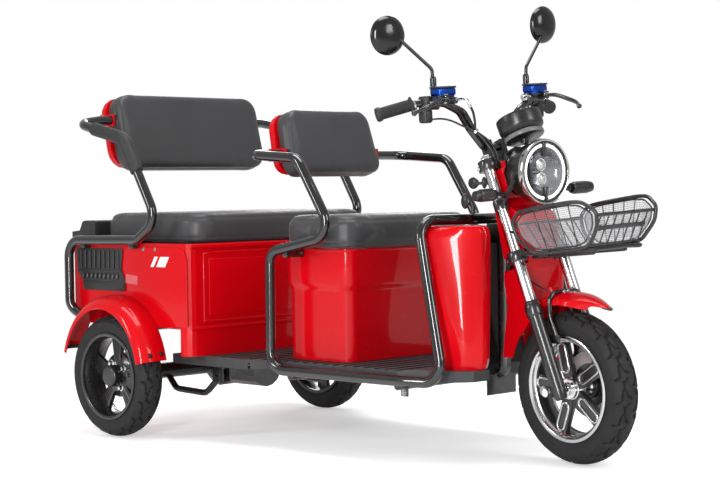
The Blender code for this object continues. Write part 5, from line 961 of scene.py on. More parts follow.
# Fork
def fork(name, side):
    """Chrome stanchion, black leg with its lug, yoke clamps and screws of one side."""
    middle = side * FORK_HALF
    frame_here = FORK_FRAME @ Matrix.Translation((0.0, middle, 0.0))
    tube = spun([(0.0, 0.09), (0.0148, 0.09), (0.0155, 0.0912), (0.0155, 0.6495), (0.014, 0.651),
                 (0.0, 0.651)],
                frame_here, 56)
    piece("chrome_stanchion_" + name, tube, CHROME, "steering", stands_for="stanchion_" + name)
    leg = spun([
        (0.0, -0.028), (0.013, -0.028), (0.0162, -0.0255), (0.0178, -0.019), (0.0192, -0.002), (0.0195, 0.03),
        (0.0195, 0.196), (0.02, 0.201), (0.0218, 0.204), (0.0225, 0.2065), (0.0225, 0.229), (0.0215, 0.2325),
        (0.0198, 0.2345), (0.0194, 0.2385), (0.0178, 0.24), (0.016, 0.24), (0.016, 0.045), (0.0, 0.045),
    ], frame_here, 56)
    low, high = sorted((side * 0.065, side * 0.103))
    lug = spun([(0.0062, low), (0.0125, low), (0.0138, low + 0.0015), (0.0138, high - 0.0015), (0.0125, high),
                (0.0062, high)], FRONT_AXLE, 36)
    arm = block((-0.03, middle - 0.011, -0.014), (-0.002, middle + 0.011, 0.012), FORK_FRAME, 0.004, 3)
    piece("fork_leg_" + name, joined(leg, lug, arm), BLACK_METAL, "fork_legs", 24.0,
          "fork_slider_" + name)
    boots = spun([(0.0158, 0.2402), (0.0172, 0.2402), (0.0165, 0.244), (0.0158, 0.2446)], frame_here, 40)
    piece("fork_wiper_" + name, boots, SOFT_RUBBER, "fork_legs")
    rings = []
    for up in YOKE_RISES:
        rings.append(spun([(0.0158, up - 0.0004), (0.0245, up - 0.0004), (0.0256, up + 0.001),
                           (0.0256, up + 0.027), (0.0245, up + 0.0284), (0.0158, up + 0.0284)],
                          frame_here, 44))
        rings.append(block((-0.036, middle - 0.007, up + 0.004), (-0.02, middle + 0.007, up + 0.024),
                           FORK_FRAME, 0.003))
    rings.append(spun([(0.0157, 0.503), (0.019, 0.503), (0.0196, 0.505), (0.0196, 0.527), (0.019, 0.529),
                       (0.0157, 0.529)], frame_here, 44))
    piece("yoke_rings_" + name, joined(*rings), BLACK_METAL, "steering")
    screws = [cap_screw(FORK_FRAME @ along((-0.028, side * 0.092, up + 0.014),
                                           (-0.028, side * 0.192, up + 0.014)),
                        0.0042, 0.005) for up in YOKE_RISES]
    screws.append(spun([(0.0, 0.651), (0.015, 0.651), (0.0155, 0.6525), (0.0135, 0.657), (0.009, 0.658),
                        (0.009, 0.6605), (0.0, 0.661)], frame_here, 6))
    piece("yoke_screws_" + name, joined(*screws), CHROME, "steering")


def knurled(frame_here, radius, length):
    """A knurled drum: a cylinder whose every other side is drawn in."""
    teeth, drawn_in = 26, 0.93
    shape = bmesh.new()
    bmesh.ops.create_cone(shape, cap_ends=True, segments=2 * teeth, radius1=radius, radius2=radius,
                          depth=length)
    bmesh.ops.translate(shape, vec=(0, 0, length / 2), verts=shape.verts)
    for vert in shape.verts:
        turn = math.atan2(vert.co.y, vert.co.x)
        if round(turn / (math.pi / teeth)) % 2:
            vert.co.x *= drawn_in
            vert.co.y *= drawn_in
    bmesh.ops.transform(shape, matrix=frame_here, verts=shape.verts)
    return shape


def leg_foot_bolt():
    axle_side = steered_axis((1.3905, -0.083, 0.206), (1.3905, -0.3, 0.206))
    adjuster = joined(knurled(axle_side, 0.0135, 0.016), spun([
        (0.0, 0.0158), (0.0095, 0.0158), (0.0095, 0.0178), (0.007, 0.019), (0.0, 0.019)], axle_side, 24))
    piece("leg_foot_bolt", adjuster, ALLOY, "fork_legs", 20.0)


def leg_hose():
    """The hose that crosses from the steering to the sliding legs."""
    route = steered(smooth_route([(1.2576, -0.062, 0.5711), (1.276, -0.057, 0.527), (1.304, -0.05, 0.4937),
                                  (1.34, -0.05, 0.4763), (1.3743, -0.05, 0.4643)]))
    hose = piece("leg_cable", swept(route, 0.0022, 8), HOSE, None)
    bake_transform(hose)


for name, side in SIDES:
    fork(name, side)
leg_foot_bolt()
leg_hose()


# Headlight, indicators and instrument cup
def facing_forward(x, z):
    """A frame whose X points left, Y up and Z ahead, x ahead of the rear axle and z above the floor."""
    return Matrix(((0.0, 0.0, 1.0, x), (1.0, 0.0, 0.0, 0.0), (0.0, 1.0, 0.0, z), (0.0, 0.0, 0.0, 1.0)))


FACING = STEERED @ facing_forward(1.322, 0.777)
LAMP_SIDE = 0.08


def headlight_shell():
    """Domed shell with its brackets to the fork and the indicator arms."""
    dome = [(point.x, point.z) for point in smooth_route([
        (0.0, 0.0, -0.112), (0.03, 0.0, -0.108), (0.052, 0.0, -0.092), (0.066, 0.0, -0.068),
        (0.076, 0.0, -0.04), (0.083, 0.0, -0.01), (0.0845, 0.0, 0.0)], 5)]
    dome[0] = (0.0, -0.112)
    parts = [spun(dome + [(0.079, 0.0), (0.077, -0.008), (0.0, -0.05)], FACING)]
    for _, side in SIDES:
        start = on_fork(0.014, side * 0.086, 0.516)
        end = STEERED @ Vector((1.298, side * 0.079, 0.764))
        parts.append(swept([start, start.lerp(end, 0.5), end], [0.0072, 0.0066, 0.008], 16))
        path = rounded([((1.262, side * LAMP_SIDE, 0.712), 0.0), ((1.279, side * 0.105, 0.724), 0.01),
                        ((1.2838, side * 0.14, 0.7255), 0.0)])
        parts.append(swept(steered(path), 0.0055, 16))
        parts.append(spun([(0.0, 0.0), (0.0085, 0.0), (0.0085, 0.007), (0.0, 0.007)],
                          steered_axis((1.2825, 0.132, 0.7253), (1.2838, 0.14, 0.7255), side), 6))
        screw = steered_axis((1.3, LAMP_SIDE, 0.765), (1.3, 0.2, 0.765), side)
        parts.append(cap_screw(screw @ Matrix.Translation((0, 0, 0.004)), 0.0052, 0.005))
    piece("headlight_dome", joined(*parts), SATIN_BLACK, "steering",
          stands_for="headlight_shell")


def headlight():
    """Rim, frame, light ring, bowl, lamps and glass in front of the shell."""
    rim = spun([(0.085, -0.003), (0.0872, -0.002), (0.088, 0.002), (0.088, 0.01), (0.0868, 0.0138),
                (0.0846, 0.015), (0.0824, 0.0142), (0.0812, 0.012), (0.0812, 0.004), (0.084, 0.0)],
               FACING, 112)
    rim_screws = [cap_screw(FACING @ Matrix.Rotation(math.radians(turn), 4, "Z")
                            @ along((0.0878, 0, 0.006), (0.2, 0, 0.006)), 0.0035, 0.0022)
                  for turn in (97, 270)]
    piece("headlight_rim", joined(rim, *rim_screws), RIM_CHROME, "steering")
    gap = spun([(0.082, 0.001), (0.082, 0.0125), (0.0775, 0.0128), (0.075, 0.008), (0.075, 0.001)],
               FACING)
    bars = [block((-0.0055, low, 0.001), (0.0055, high, 0.012), FACING, 0.0012)
            for low, high in ((-0.08, -0.04), (0.04, 0.08))]
    side_bar = block((-0.052, -0.036, -0.008), (-0.043, 0.026, 0.008), FACING, 0.002)
    piece("headlight_frame", joined(gap, *bars, side_bar), SATIN_BLACK, "steering")
    ring_radius, ring_height, steps = 0.0705, 0.009, 40
    centre = FACING @ Vector((0.0, 0.0, ring_height))
    arcs = []
    for start, end in ((96.5, 263.5), (-83.5, 83.5)):
        turns = [math.radians(start + (end - start) * index / steps) for index in range(steps + 1)]
        path = [FACING @ Vector((ring_radius * math.cos(turn), ring_radius * math.sin(turn), ring_height))
                for turn in turns]
        arcs.append(swept(path, 0.0044, 12, flat=0.45, up=(path[0] - centre).normalized()))
    piece("headlight_ring", joined(*arcs), LED, "steering", stands_for="headlight_lens")
    bowl = spun([(0.0765, 0.004), (0.066, 0.001), (0.06, -0.01), (0.048, -0.022), (0.03, -0.031),
                 (0.0, -0.035), (0.0, -0.038), (0.03, -0.034), (0.05, -0.0245), (0.062, -0.012),
                 (0.068, -0.001), (0.0765, 0.001)], FACING, closed=False)
    piece("headlight_bowl", bowl, REFLECTOR, "steering", 60.0)
    lamps, glows = [], []
    for rise in (-0.0185, 0.0185):
        spot = FACING @ Matrix.Translation((0.0, rise, -0.014))
        lamps.append(spun([(0.012, -0.02), (0.0165, -0.018), (0.0175, 0.006), (0.0168, 0.0095), (0.015, 0.01),
                           (0.0138, 0.008), (0.0135, -0.01)], spot, 48))
        lamps.append(spun([(0.0, 0.004), (0.004, 0.004), (0.0045, 0.009), (0.003, 0.0105), (0.0, 0.0108)],
                          spot, 20))
        glows.append(spun([(0.0, -0.006), (0.0138, -0.006), (0.0138, 0.002), (0.0105, 0.0065),
                           (0.0052, 0.0088), (0.0, 0.0094)], spot, 40))
    piece("headlight_lamp_rings", joined(*lamps), CHROME, "steering")
    piece("headlight_lamp_domes", joined(*glows), LAMP_GLASS, "steering")
    glass = spun([(0.0, 0.0212), (0.03, 0.0202), (0.055, 0.0176), (0.072, 0.014), (0.0815, 0.011),
                  (0.0808, 0.01), (0.0715, 0.0128), (0.0548, 0.0164), (0.0298, 0.019), (0.0, 0.02)],
                 FACING)
    piece("headlight_glass", glass, LENS, "steering", 60.0)


def indicator(name, side):
    """A ribbed round body that stands out to one side, with a smoked lens ahead."""
    frame_here = steered_axis((1.284, 0.14, 0.7255), (1.289, 0.218, 0.725), side)
    profile = [(0.0, 0.0), (0.01, 0.0), (0.014, 0.002), (0.0155, 0.0055)]
    height, rib_pitch = 0.01, 0.0098
    while height < 0.058:
        profile += [(0.0163, height), (0.017, height + 0.001), (0.017, height + 0.0052),
                    (0.0161, height + 0.0062)]
        height += rib_pitch
    profile += [(0.016, 0.062), (0.0135, 0.0735), (0.009, 0.0775), (0.0, 0.078)]
    piece("indicator_body_" + name, spun(profile, frame_here, 48), SATIN_BLACK, "steering",
          30.0, "indicator_" + name)
    lens = block((0.007, -0.0105, 0.016), (0.0178, 0.0105, 0.062), frame_here, 0.005, 4)
    front = (frame_here.to_3x3() @ Vector((1, 0, 0))).dot(STEERED.to_3x3() @ Vector((1, 0, 0)))
    if abs(front) < 0.5:
        bmesh.ops.rotate(lens, cent=frame_here.translation, verts=lens.verts, matrix=Matrix.Rotation(
            math.pi / 2, 3, frame_here.to_3x3() @ Vector((0, 0, 1))))
    piece("indicator_lens_" + name, lens, SMOKED_LENS, "steering")


def cup():
    """Round instrument pod on a post over the top yoke."""
    low, high = steered(((1.262, 0.0, 0.866), (1.235, 0.0, 0.928)))
    turn = steered_axis((1.262, 0.0, 0.866), (1.235, 0.0, 0.928))
    pod = spun([(0.0, 0.0), (0.05, 0.0), (0.052, 0.0012), (0.052, 0.014), (0.05, 0.0165),
                (0.0545, 0.0205), (0.06, 0.027), (0.0618, 0.032), (0.062, 0.06), (0.062, 0.063),
                (0.061, 0.0655), (0.059, 0.066), (0.057, 0.065), (0.0562, 0.0622), (0.0, 0.0622)], turn, 88)
    strap = block((-0.014, -0.012, 0.659), (0.045, 0.012, 0.6645), FORK_FRAME, 0.0015)
    foot = block((-0.0143, -0.013, 0.6413), (0.006, 0.013, 0.662), FORK_FRAME, 0.002)
    post_foot = on_fork((FORK_FRAME.inverted() @ low).x - 0.008, 0.0, 0.6618)
    post = swept([post_foot, post_foot.lerp(low, 0.5), low.lerp(high, 0.2)], 0.011, 20)
    piece("instrument_pod", joined(pod, strap, foot, post), SATIN_BLACK, "steering",
          stands_for="instrument_cup")
    band = spun([(0.0515, 0.002), (0.054, 0.0024), (0.055, 0.004), (0.055, 0.0115), (0.054, 0.0135),
                 (0.0515, 0.014)], turn, 88)
    piece("instrument_base_band", band, GREY_BAND, "steering")
    face = spun([(0.0, 0.0623), (0.056, 0.0623), (0.056, 0.063), (0.0, 0.0634)], turn, 72)
    piece("instrument_glass", face, DIAL_GLASS, "steering")
    ticks = [block((0.04, -0.0008, 0.0632), (0.049, 0.0008, 0.0636),
                   turn @ Matrix.Rotation(math.radians(210.0 - 20.0 * index), 4, "Z")) for index in range(13)]
    ticks.append(block((-0.006, -0.001, 0.0632), (0.034, 0.001, 0.0637), turn @ Matrix.Rotation(2.6, 4, "Z")))
    piece("instrument_ticks", joined(*ticks), WHITE_FILM, "steering")


headlight_shell()
headlight()
for name, side in SIDES:
    indicator(name, side)
cup()


# Front basket
BASKET_SIDE = 0.106
MESH_PITCH, MESH_WIRE = 0.0052, 0.00055
BASKET_PROFILE = ((1.341, 0.645), (1.4, 0.572), (1.575, 0.592), (1.615, 0.67))
HOOP = ((1.33, 0.127, 0.65), (1.362, 0.13, 0.68), (1.575, 0.124, 0.708), (1.622, 0.11, 0.68),
        (1.618, 0.105, 0.64), (1.575, 0.094, 0.586), (1.4, 0.112, 0.566), (1.345, 0.122, 0.605))


def closed_loop(corners, cut_back=0.3, pieces=7):
    """A smooth closed curve that rounds the corners of a polygon."""
    corners = [Vector(corner) for corner in corners]
    path = []
    for before, corner, after in zip(corners[-1:] + corners[:-1], corners, corners[1:] + corners[:1]):
        start, end = corner.lerp(before, cut_back), corner.lerp(after, cut_back)
        for index in range(pieces + 1):
            t = index / pieces
            path.append((1 - t) ** 2 * start + 2 * t * (1 - t) * corner + t * t * end)
    return path


def inward(corners, amount):
    """The same polygon drawn in towards its middle by a distance."""
    corners = [Vector(corner) for corner in corners]
    middle = sum(corners, Vector()) / len(corners)
    return [corner + (middle - corner).normalized() * amount for corner in corners]


def basket_bottom(y, bend_step):
    """The basket's bowed bottom, seen from the side, at one distance from its middle."""
    last = len(BASKET_PROFILE) - 1
    return rounded([((x, y, z), 0.0 if index in (0, last) else 0.012)
                    for index, (x, z) in enumerate(BASKET_PROFILE)], math.radians(bend_step))


def along_line(points, distance):
    """The place a distance along a line of points, or None past its end."""
    for start, end in zip(points, points[1:]):
        length = (end - start).length
        if distance <= length:
            return start.lerp(end, distance / length)
        distance -= length
    return None


def basket_sides(side, inner):
    """Hoop, inner wire, clips, side wires and carrier tubes of one side."""
    hoop = [Vector(point) for point in HOOP]
    tubes = [swept(steered(closed_loop(HOOP), side), 0.0052, 16, cyclic=True)]
    wires = [swept(steered(closed_loop(inner), side), 0.0021, 10, cyclic=True)]
    clips = []
    for first, second, share in ((1, 2, 0.3), (1, 2, 0.8), (5, 6, 0.25), (5, 6, 0.8)):
        run = (hoop[second] - hoop[first]).normalized()
        middle = hoop[first].lerp(hoop[second], share).lerp(inner[first].lerp(inner[second], share), 0.45)
        path = steered([middle + run * shift for shift in (-0.011, -0.009, 0.009, 0.011)], side)
        clips.append(swept(path, [0.0035, 0.0058, 0.0058, 0.0035], 14))
    for share in (0.2, 0.42, 0.64, 0.86):
        top, foot = inner[1].lerp(inner[2], share), inner[6].lerp(inner[5], share)
        wires.append(swept(steered((top, top.lerp(foot, 0.5), foot), side), 0.0016, 8))
    for start, end, radius, shift in (((1.3, 0.562), (1.588, 0.58), 0.0062, FORK_HALF),
                                      ((1.33, 0.553), (1.56, 0.5705), 0.005, 0.058)):
        path = steered([(start[0] + (end[0] - start[0]) * t, shift, start[1] + (end[1] - start[1]) * t)
                        for t in (0.0, 0.02, 0.5, 0.98, 1.0)], side)
        tubes.append(swept(path, [radius * 0.6, radius, radius, radius, radius * 0.6], 14))
    yoke, reach = side * FORK_HALF, STEERED @ Vector((1.303, side * FORK_HALF, 0.5625))
    path = [on_fork(0.0253, yoke, 0.368), on_fork(0.035, yoke, 0.368), reach]
    tubes.append(swept(path, 0.0055, 14))
    return tubes, wires, clips


def basket():
    tubes, wires, clips = [], [], []
    inner = inward(HOOP, 0.0155)
    for _, side in SIDES:
        for group, made in zip((tubes, wires, clips), basket_sides(side, inner)):
            group += made
    for (x, y, z), radius in (((1.34, 0.125, 0.645), 0.0046), ((1.617, 0.107, 0.67), 0.0046),
                              ((1.575, 0.096, 0.592), 0.0024), ((1.4, 0.112, 0.57), 0.0024)):
        tubes.append(swept(steered(((x, -y, z), (x, 0, z), (x, y, z))), radius, 14))
    for y in (-0.088, -0.056, -0.028, 0.0, 0.028, 0.056, 0.088):
        drawn_in = 1.0 if abs(y) < 0.08 else 0.97
        wires.append(swept(steered(basket_bottom(y * drawn_in, 15)), 0.0019, 8))
    for share in (0.25, 0.95):
        x, z = 1.33 + 0.245 * share, 0.556 + 0.024 * share
        tubes.append(swept(steered([(x, y, z) for y in (-0.09, 0.0, 0.09)]), 0.005, 14))
    strip_half = 0.078
    plate_frame = steered_spot((1.5995, 0.0, 0.636)) @ Matrix.Rotation(math.radians(24.0), 4, "Y")
    clips.append(block((0.0, -strip_half, -0.0065), (0.0025, strip_half, 0.0065), plate_frame, 0.0012))
    for y in (-strip_half, strip_half):
        eye = plate_frame @ Matrix.Translation((-0.0002, y, 0.0)) @ Matrix.Rotation(math.pi / 2, 4, "Y")
        clips.append(spun([(0.0035, 0.0), (0.008, 0.0), (0.008, 0.0032), (0.0035, 0.0032)], eye, 28))
    piece("basket_tubes", joined(*tubes), BASKET_PAINT, "steering", stands_for="basket")
    piece("basket_wires", joined(*wires), BASKET_PAINT, "steering")
    piece("basket_clips", joined(*clips), PLASTIC, "steering")


def mesh_wire(points, side=1):
    return swept(steered(points, side), MESH_WIRE, 4)


def basket_mesh():
    """Fine square mesh on the bottom and the two sides of the basket."""
    inner = inward(HOOP, 0.0155)
    bottom = basket_bottom(0.0, 30)
    mesh = [mesh_wire([(point.x, -BASKET_SIDE + index * MESH_PITCH, point.z) for point in bottom])
            for index in range(int(2 * BASKET_SIDE / MESH_PITCH) + 1)]
    total = sum((end - start).length for start, end in zip(bottom, bottom[1:]))
    for index in range(int(total / MESH_PITCH) + 1):
        spot = along_line(bottom, index * MESH_PITCH)
        mesh.append(mesh_wire([(spot.x, y, spot.z) for y in (-BASKET_SIDE, BASKET_SIDE)]))
    lines = (inner[:4], inner[:3:-1])
    runs = [sum((end - start).length for start, end in zip(line, line[1:])) for line in lines]
    columns, rows = 50, 20
    for _, side in SIDES:
        for index in range(1, columns):
            ends = [along_line(line, index / columns * run) for line, run in zip(lines, runs)]
            mesh.append(mesh_wire(ends, side))
        for index in range(1, rows):
            mesh.append(mesh_wire([top.lerp(foot, index / rows) for top, foot in zip(*lines)], side))
    piece("basket_mesh", joined(*mesh), MESH_STEEL, "steering")


basket()
basket_mesh()


# Fenders
def bowed_sheet(section, middle_radius, first, last, steps, side=1):
    """An open sheet: a section across, given as (offset, rise), carried over a wheel between two angles."""
    shape = bmesh.new()
    row = [shape.verts.new((middle_radius + rise, side * across, 0.0)) for across, rise in section]
    edges = [shape.edges.new(pair) for pair in zip(row, row[1:])]
    bmesh.ops.rotate(shape, cent=(0, 0, 0), matrix=Matrix.Rotation(-first, 3, "Y"), verts=shape.verts)
    bmesh.ops.spin(shape, geom=row + edges, cent=(0, 0, 0), axis=(0, 1, 0), angle=first - last, steps=steps)
    return shape


def thickened(shape, thickness, facing="z"):
    """Turn an open sheet's faces up, or forwards, and give it a wall."""
    bmesh.ops.recalc_face_normals(shape, faces=shape.faces)
    if facing == "z":
        outward = sum(face.normal.z for face in shape.faces)
    else:
        outward = max(shape.faces, key=lambda face: face.calc_center_median().x).normal.x
    if outward < 0:
        bmesh.ops.reverse_faces(shape, faces=shape.faces)
    bmesh.ops.solidify(shape, geom=shape.faces[:], thickness=thickness)


def front_fender():
    """Fender that narrows to a point ahead, with its hoop, stays, lip and bolts."""
    half, middle_radius, drop = 0.056, 0.252, 0.23
    section = [(-1.0, -0.028), (-0.965, -0.019), (-0.9, -0.0128), (-0.8, -0.0085), (-0.55, -0.0022),
               (-0.25, 0.002), (0.0, 0.003), (0.25, 0.002), (0.55, -0.0022), (0.8, -0.0085), (0.9, -0.0128),
               (0.965, -0.019), (1.0, -0.028)]
    first, last = math.radians(114.0), math.radians(57.0)
    shape = bowed_sheet([(across * half, rise) for across, rise in section], middle_radius, first, last, 44)
    for vert in shape.verts:
        share = (first - math.atan2(vert.co.z, vert.co.x)) / (first - last)
        across = abs(vert.co.y) / half
        turn = first - (first - last) * share + drop * share ** 3 * across ** 2
        reach = math.hypot(vert.co.x, vert.co.z)
        vert.co.x = reach * math.cos(turn)
        vert.co.z = reach * math.sin(turn)
        vert.co.y *= 1.0 - 0.5 * max(0.0, share - 0.55) ** 1.4 / 0.45 ** 1.4
    thickened(shape, 0.0028)
    bmesh.ops.transform(shape, matrix=steered_spot(WHEEL_CENTRE), verts=shape.verts)
    piece("front_fender_cover", shape, RED, "fork_legs", 35.0, "front_fender")
    hoop = rounded([
        ((1.413, -0.0585, 0.333), 0.0), ((1.386, -0.0585, 0.4), 0.05), ((1.386, -0.0585, 0.46), 0.028),
        ((1.386, 0.0585, 0.46), 0.028), ((1.386, 0.0585, 0.4), 0.05), ((1.413, 0.0585, 0.333), 0.0)])
    stays = [swept(steered(hoop), 0.006, 18)]
    for y in (-0.0622, 0.0622):
        stays.append(block((1.356, y - 0.0018, 0.328), (1.424, y + 0.0018, 0.35), STEERED, 0.0012))
    stays.append(block((1.38, -0.012, 0.4545), (1.4, 0.012, 0.4605), STEERED, 0.002))
    piece("fender_hoop", joined(*stays), TUBE, "fork_legs")
    lip = []
    for across, rise in section[4:9]:
        reach, turn = middle_radius - 0.001 + rise, last + drop * across ** 2
        lip.append(STEERED @ (WHEEL_CENTRE + Vector((reach * math.cos(turn), across * half * 0.5,
                                                     reach * math.sin(turn)))))
    piece("fender_lip", swept(lip, [0.0016, 0.0026, 0.0032, 0.0026, 0.0016], 12), PLASTIC, "fork_legs")
    bolts = [cap_screw(steered_spot((1.39, y, 0.4605)), 0.0045, 0.0035) for y in (-0.007, 0.007)]
    piece("fender_bolts", joined(*bolts), CHROME, "fork_legs")


def rear_fender(name, side):
    """Fender over a rear wheel, with its screws and the strip along its inner edge."""
    section = [(BODY_SIDE, 0.012), (0.4403, 0.012), (0.453, 0.0105), (0.464, 0.007), (0.474, 0.0018),
               (0.4815, -0.004), (0.487, -0.0105), (0.4903, -0.0175), (0.4918, -0.024), (0.491, -0.0272),
               (0.4885, -0.028)]
    reach, squeeze = 0.231, 0.203 / 0.231
    middle_x, front_foot, rear_foot = -0.015, 0.236, 0.255
    start = math.asin((front_foot - REAR_RADIUS) / reach)
    end = math.pi - math.asin((rear_foot - REAR_RADIUS) / reach)
    shape = bowed_sheet(section, reach, start, end, 64, side)
    bmesh.ops.scale(shape, vec=(squeeze, 1.0, 1.0), verts=shape.verts)
    thickened(shape, 0.003)
    bmesh.ops.transform(shape, matrix=TO_FRAME @ Matrix.Translation((middle_x, 0.0, REAR_RADIUS)),
                        verts=shape.verts)
    piece("rear_fender_cover_" + name, shape, RED, "frame", 35.0, "rear_fender_" + name)

    def over_wheel(turn, y, radius):
        """A place on the fender's bow, and the way out from the wheel there."""
        out = Vector((math.cos(turn) * squeeze, 0.0, math.sin(turn)))
        return Vector((middle_x, side * y, REAR_RADIUS)) + radius * out, out

    screws = []
    for turn, y in ((start + 0.085, 0.417), (start + 0.075, 0.456), (end - 0.085, 0.42),
                    (end - 0.085, 0.454)):
        spot, out = over_wheel(turn, y, reach + (0.0122 if y < 0.45 else 0.0095))
        screws.append(cap_screw(TO_FRAME @ along(spot, spot + out), 0.0058, 0.0036))
    piece("fender_screws_" + name, joined(*screws), BLACK_METAL, "frame")
    strip = on_vehicle([over_wheel(end - 0.045, y, 0.2275)[0] for y in (0.402, 0.44, 0.478)])
    piece("fender_inner_strip_" + name, swept(strip, 0.006, 12, flat=0.5), PLASTIC, "frame")


def rear_shock(name, side):
    """Ribbed cover on the frame, and the rod on the axle that slides into it."""
    turn = TO_FRAME @ Matrix.Translation((-0.075, side * 0.25, 0.0))
    inner, rib, root, foot = 0.0205, 0.0245, 0.0225, 0.232
    outline = [(root, foot), (rib, foot), (rib, 0.236)]
    for index in range(7):
        height = 0.239 + index * 0.009
        outline += [(root, height), (rib, height + 0.0025), (rib, height + 0.0045), (root, height + 0.007)]
    outline += [(rib, 0.303), (rib, 0.3046), (0.0006, 0.3046), (0.0006, 0.299), (inner, 0.299), (inner, foot)]
    piece("shock_cover_" + name, spun(outline, turn, 40), RED, "frame",
          stands_for="rear_shock_" + name)
    rod = [(0.0, 0.1892), (0.015, 0.1892), (0.016, 0.1902), (0.016, 0.1965), (0.015, 0.1975), (0.0085, 0.198),
           (0.0085, 0.26), (0.0078, 0.261), (0.0, 0.261)]
    piece("shock_rod_" + name, spun(rod, turn, 32), CHROME, "rear_suspension")


front_fender()
for name, side in SIDES:
    rear_fender(name, side)
    rear_shock(name, side)


# Body panels
def slanted(x, low, high, width, lean=0.0):
    """The outline of an upright bar whose top is shifted forwards by its lean."""
    return [(x, low), (x + width, low), (x + lean + width, high), (x + lean, high)]


def side_panels(name, side):
    """Ribbed grille with light alloy strips of painted glint, bars, a pale red plate and smooth skin on one
    side of the body.
    """
    turn = TO_FRAME @ Matrix(((1.0, 0.0, 0.0, 0.0), (0.0, 0.0, side, side * BODY_SIDE), (0.0, 1.0, 0.0, 0.0),
                            (0.0, 0.0, 0.0, 1.0)))
    ribs = range(9)
    outline = [(-0.24, 0.568), (-0.005, 0.568), (-0.014, 0.505), (0.004, 0.47), (0.004, 0.438),
               (-0.205, 0.438), (-0.21, 0.468), (-0.235, 0.492)]
    parts = [plate(outline, 0.0, 0.0045, turn, 0.0016)]
    proud = 0.0035
    parts += [plate(slanted(-0.2215 + index * 0.0235, 0.506, 0.561, 0.013), proud, 0.0092, turn,
                    0.0026, 3) for index in ribs]
    parts.append(plate([(-0.226, 0.4955), (-0.016, 0.4955), (-0.013, 0.5005), (-0.229, 0.5005)], proud, 0.007,
                       turn, 0.001))
    parts.append(plate([(-0.203, 0.446), (0.0, 0.446), (0.0, 0.466), (-0.205, 0.466)], proud, 0.0066,
                       turn, 0.0014))
    parts += [plate(slanted(-0.205 + index * 0.0212, 0.474, 0.49, 0.0085, 0.004), proud, 0.0085,
                    turn, 0.0014) for index in ribs]
    piece("side_grille_" + name, joined(*parts), PLASTIC, "frame",
          stands_for="side_vent_" + name)
    # Light alloy strips on the lower ribs: painted glints.
    glints = [plate(slanted(-0.2025 + index * 0.0212, 0.4775, 0.487, 0.0032, 0.0028), 0.008, 0.009,
                    turn) for index in ribs]
    piece("grille_inserts_" + name, joined(*glints), ALLOY, "frame")
    bars = [plate(slanted(x, 0.515, 0.5455, width, 0.02), 0.0015, 0.0031, turn)
            for x, width in ((0.129, 0.015), (0.156, 0.041))]
    piece("body_stripes_" + name, joined(*bars), WHITE_FILM, "frame")
    # A pale pinkish-red plate on the side, lighter than the red body.
    pale_plate = plate([(0.008, 0.464), (0.064, 0.459), (0.068, 0.486), (0.01, 0.491)], 0.0015, 0.0048,
                      turn, 0.0012)
    piece("body_reflector_" + name, pale_plate, PALE_RED_PLATE, "frame")
    corner_x, corner_z, corner_radius = 0.251, 0.5285, 0.045
    corner = [(corner_x + corner_radius * math.cos(math.radians(9.0 * index)),
               corner_z + corner_radius * math.sin(math.radians(9.0 * index))) for index in range(11)]
    outline = [(0.225, 0.3385), (0.296, 0.3385)] + corner + [
        (0.003, 0.5735), (-0.005, 0.506), (0.012, 0.472), (0.012, 0.44), (0.12, 0.402), (0.185, 0.345)]
    piece("body_side_skin_" + name, plate(outline, -0.0002, 0.0024, turn, 0.0014, 3), RED, "frame")


def front_panel():
    """Rolled lip, raised field, ledge and rail on the front of the passenger box."""
    turn = TO_FRAME @ facing_forward(0.3042, 0.0)
    half, foot, top = 0.343, 0.3545, 0.558
    corners = ((-half, foot, 0.0), (half, foot, 0.0), (half, top, 0.0), (-half, top, 0.0))
    lip = swept([turn @ point for point in closed_loop(corners, 0.06, 5)], 0.0024, 12, cyclic=True, flat=1.67,
                up=Vector((1, 0, 0)))
    field = plate([(-0.325, 0.372), (0.325, 0.372), (0.325, 0.54), (-0.325, 0.54)], -0.0005, 0.0025, turn,
                  0.0016, 3)
    ledge = block((0.3, -0.396, 0.332), (0.3075, 0.396, 0.342), TO_FRAME, 0.003, 3)
    rail = block((0.3, -0.396, 0.57), (0.3085, 0.396, 0.584), TO_FRAME, 0.0035, 3)
    piece("passenger_front_panel", joined(lip, field, ledge, rail), RED, "frame")


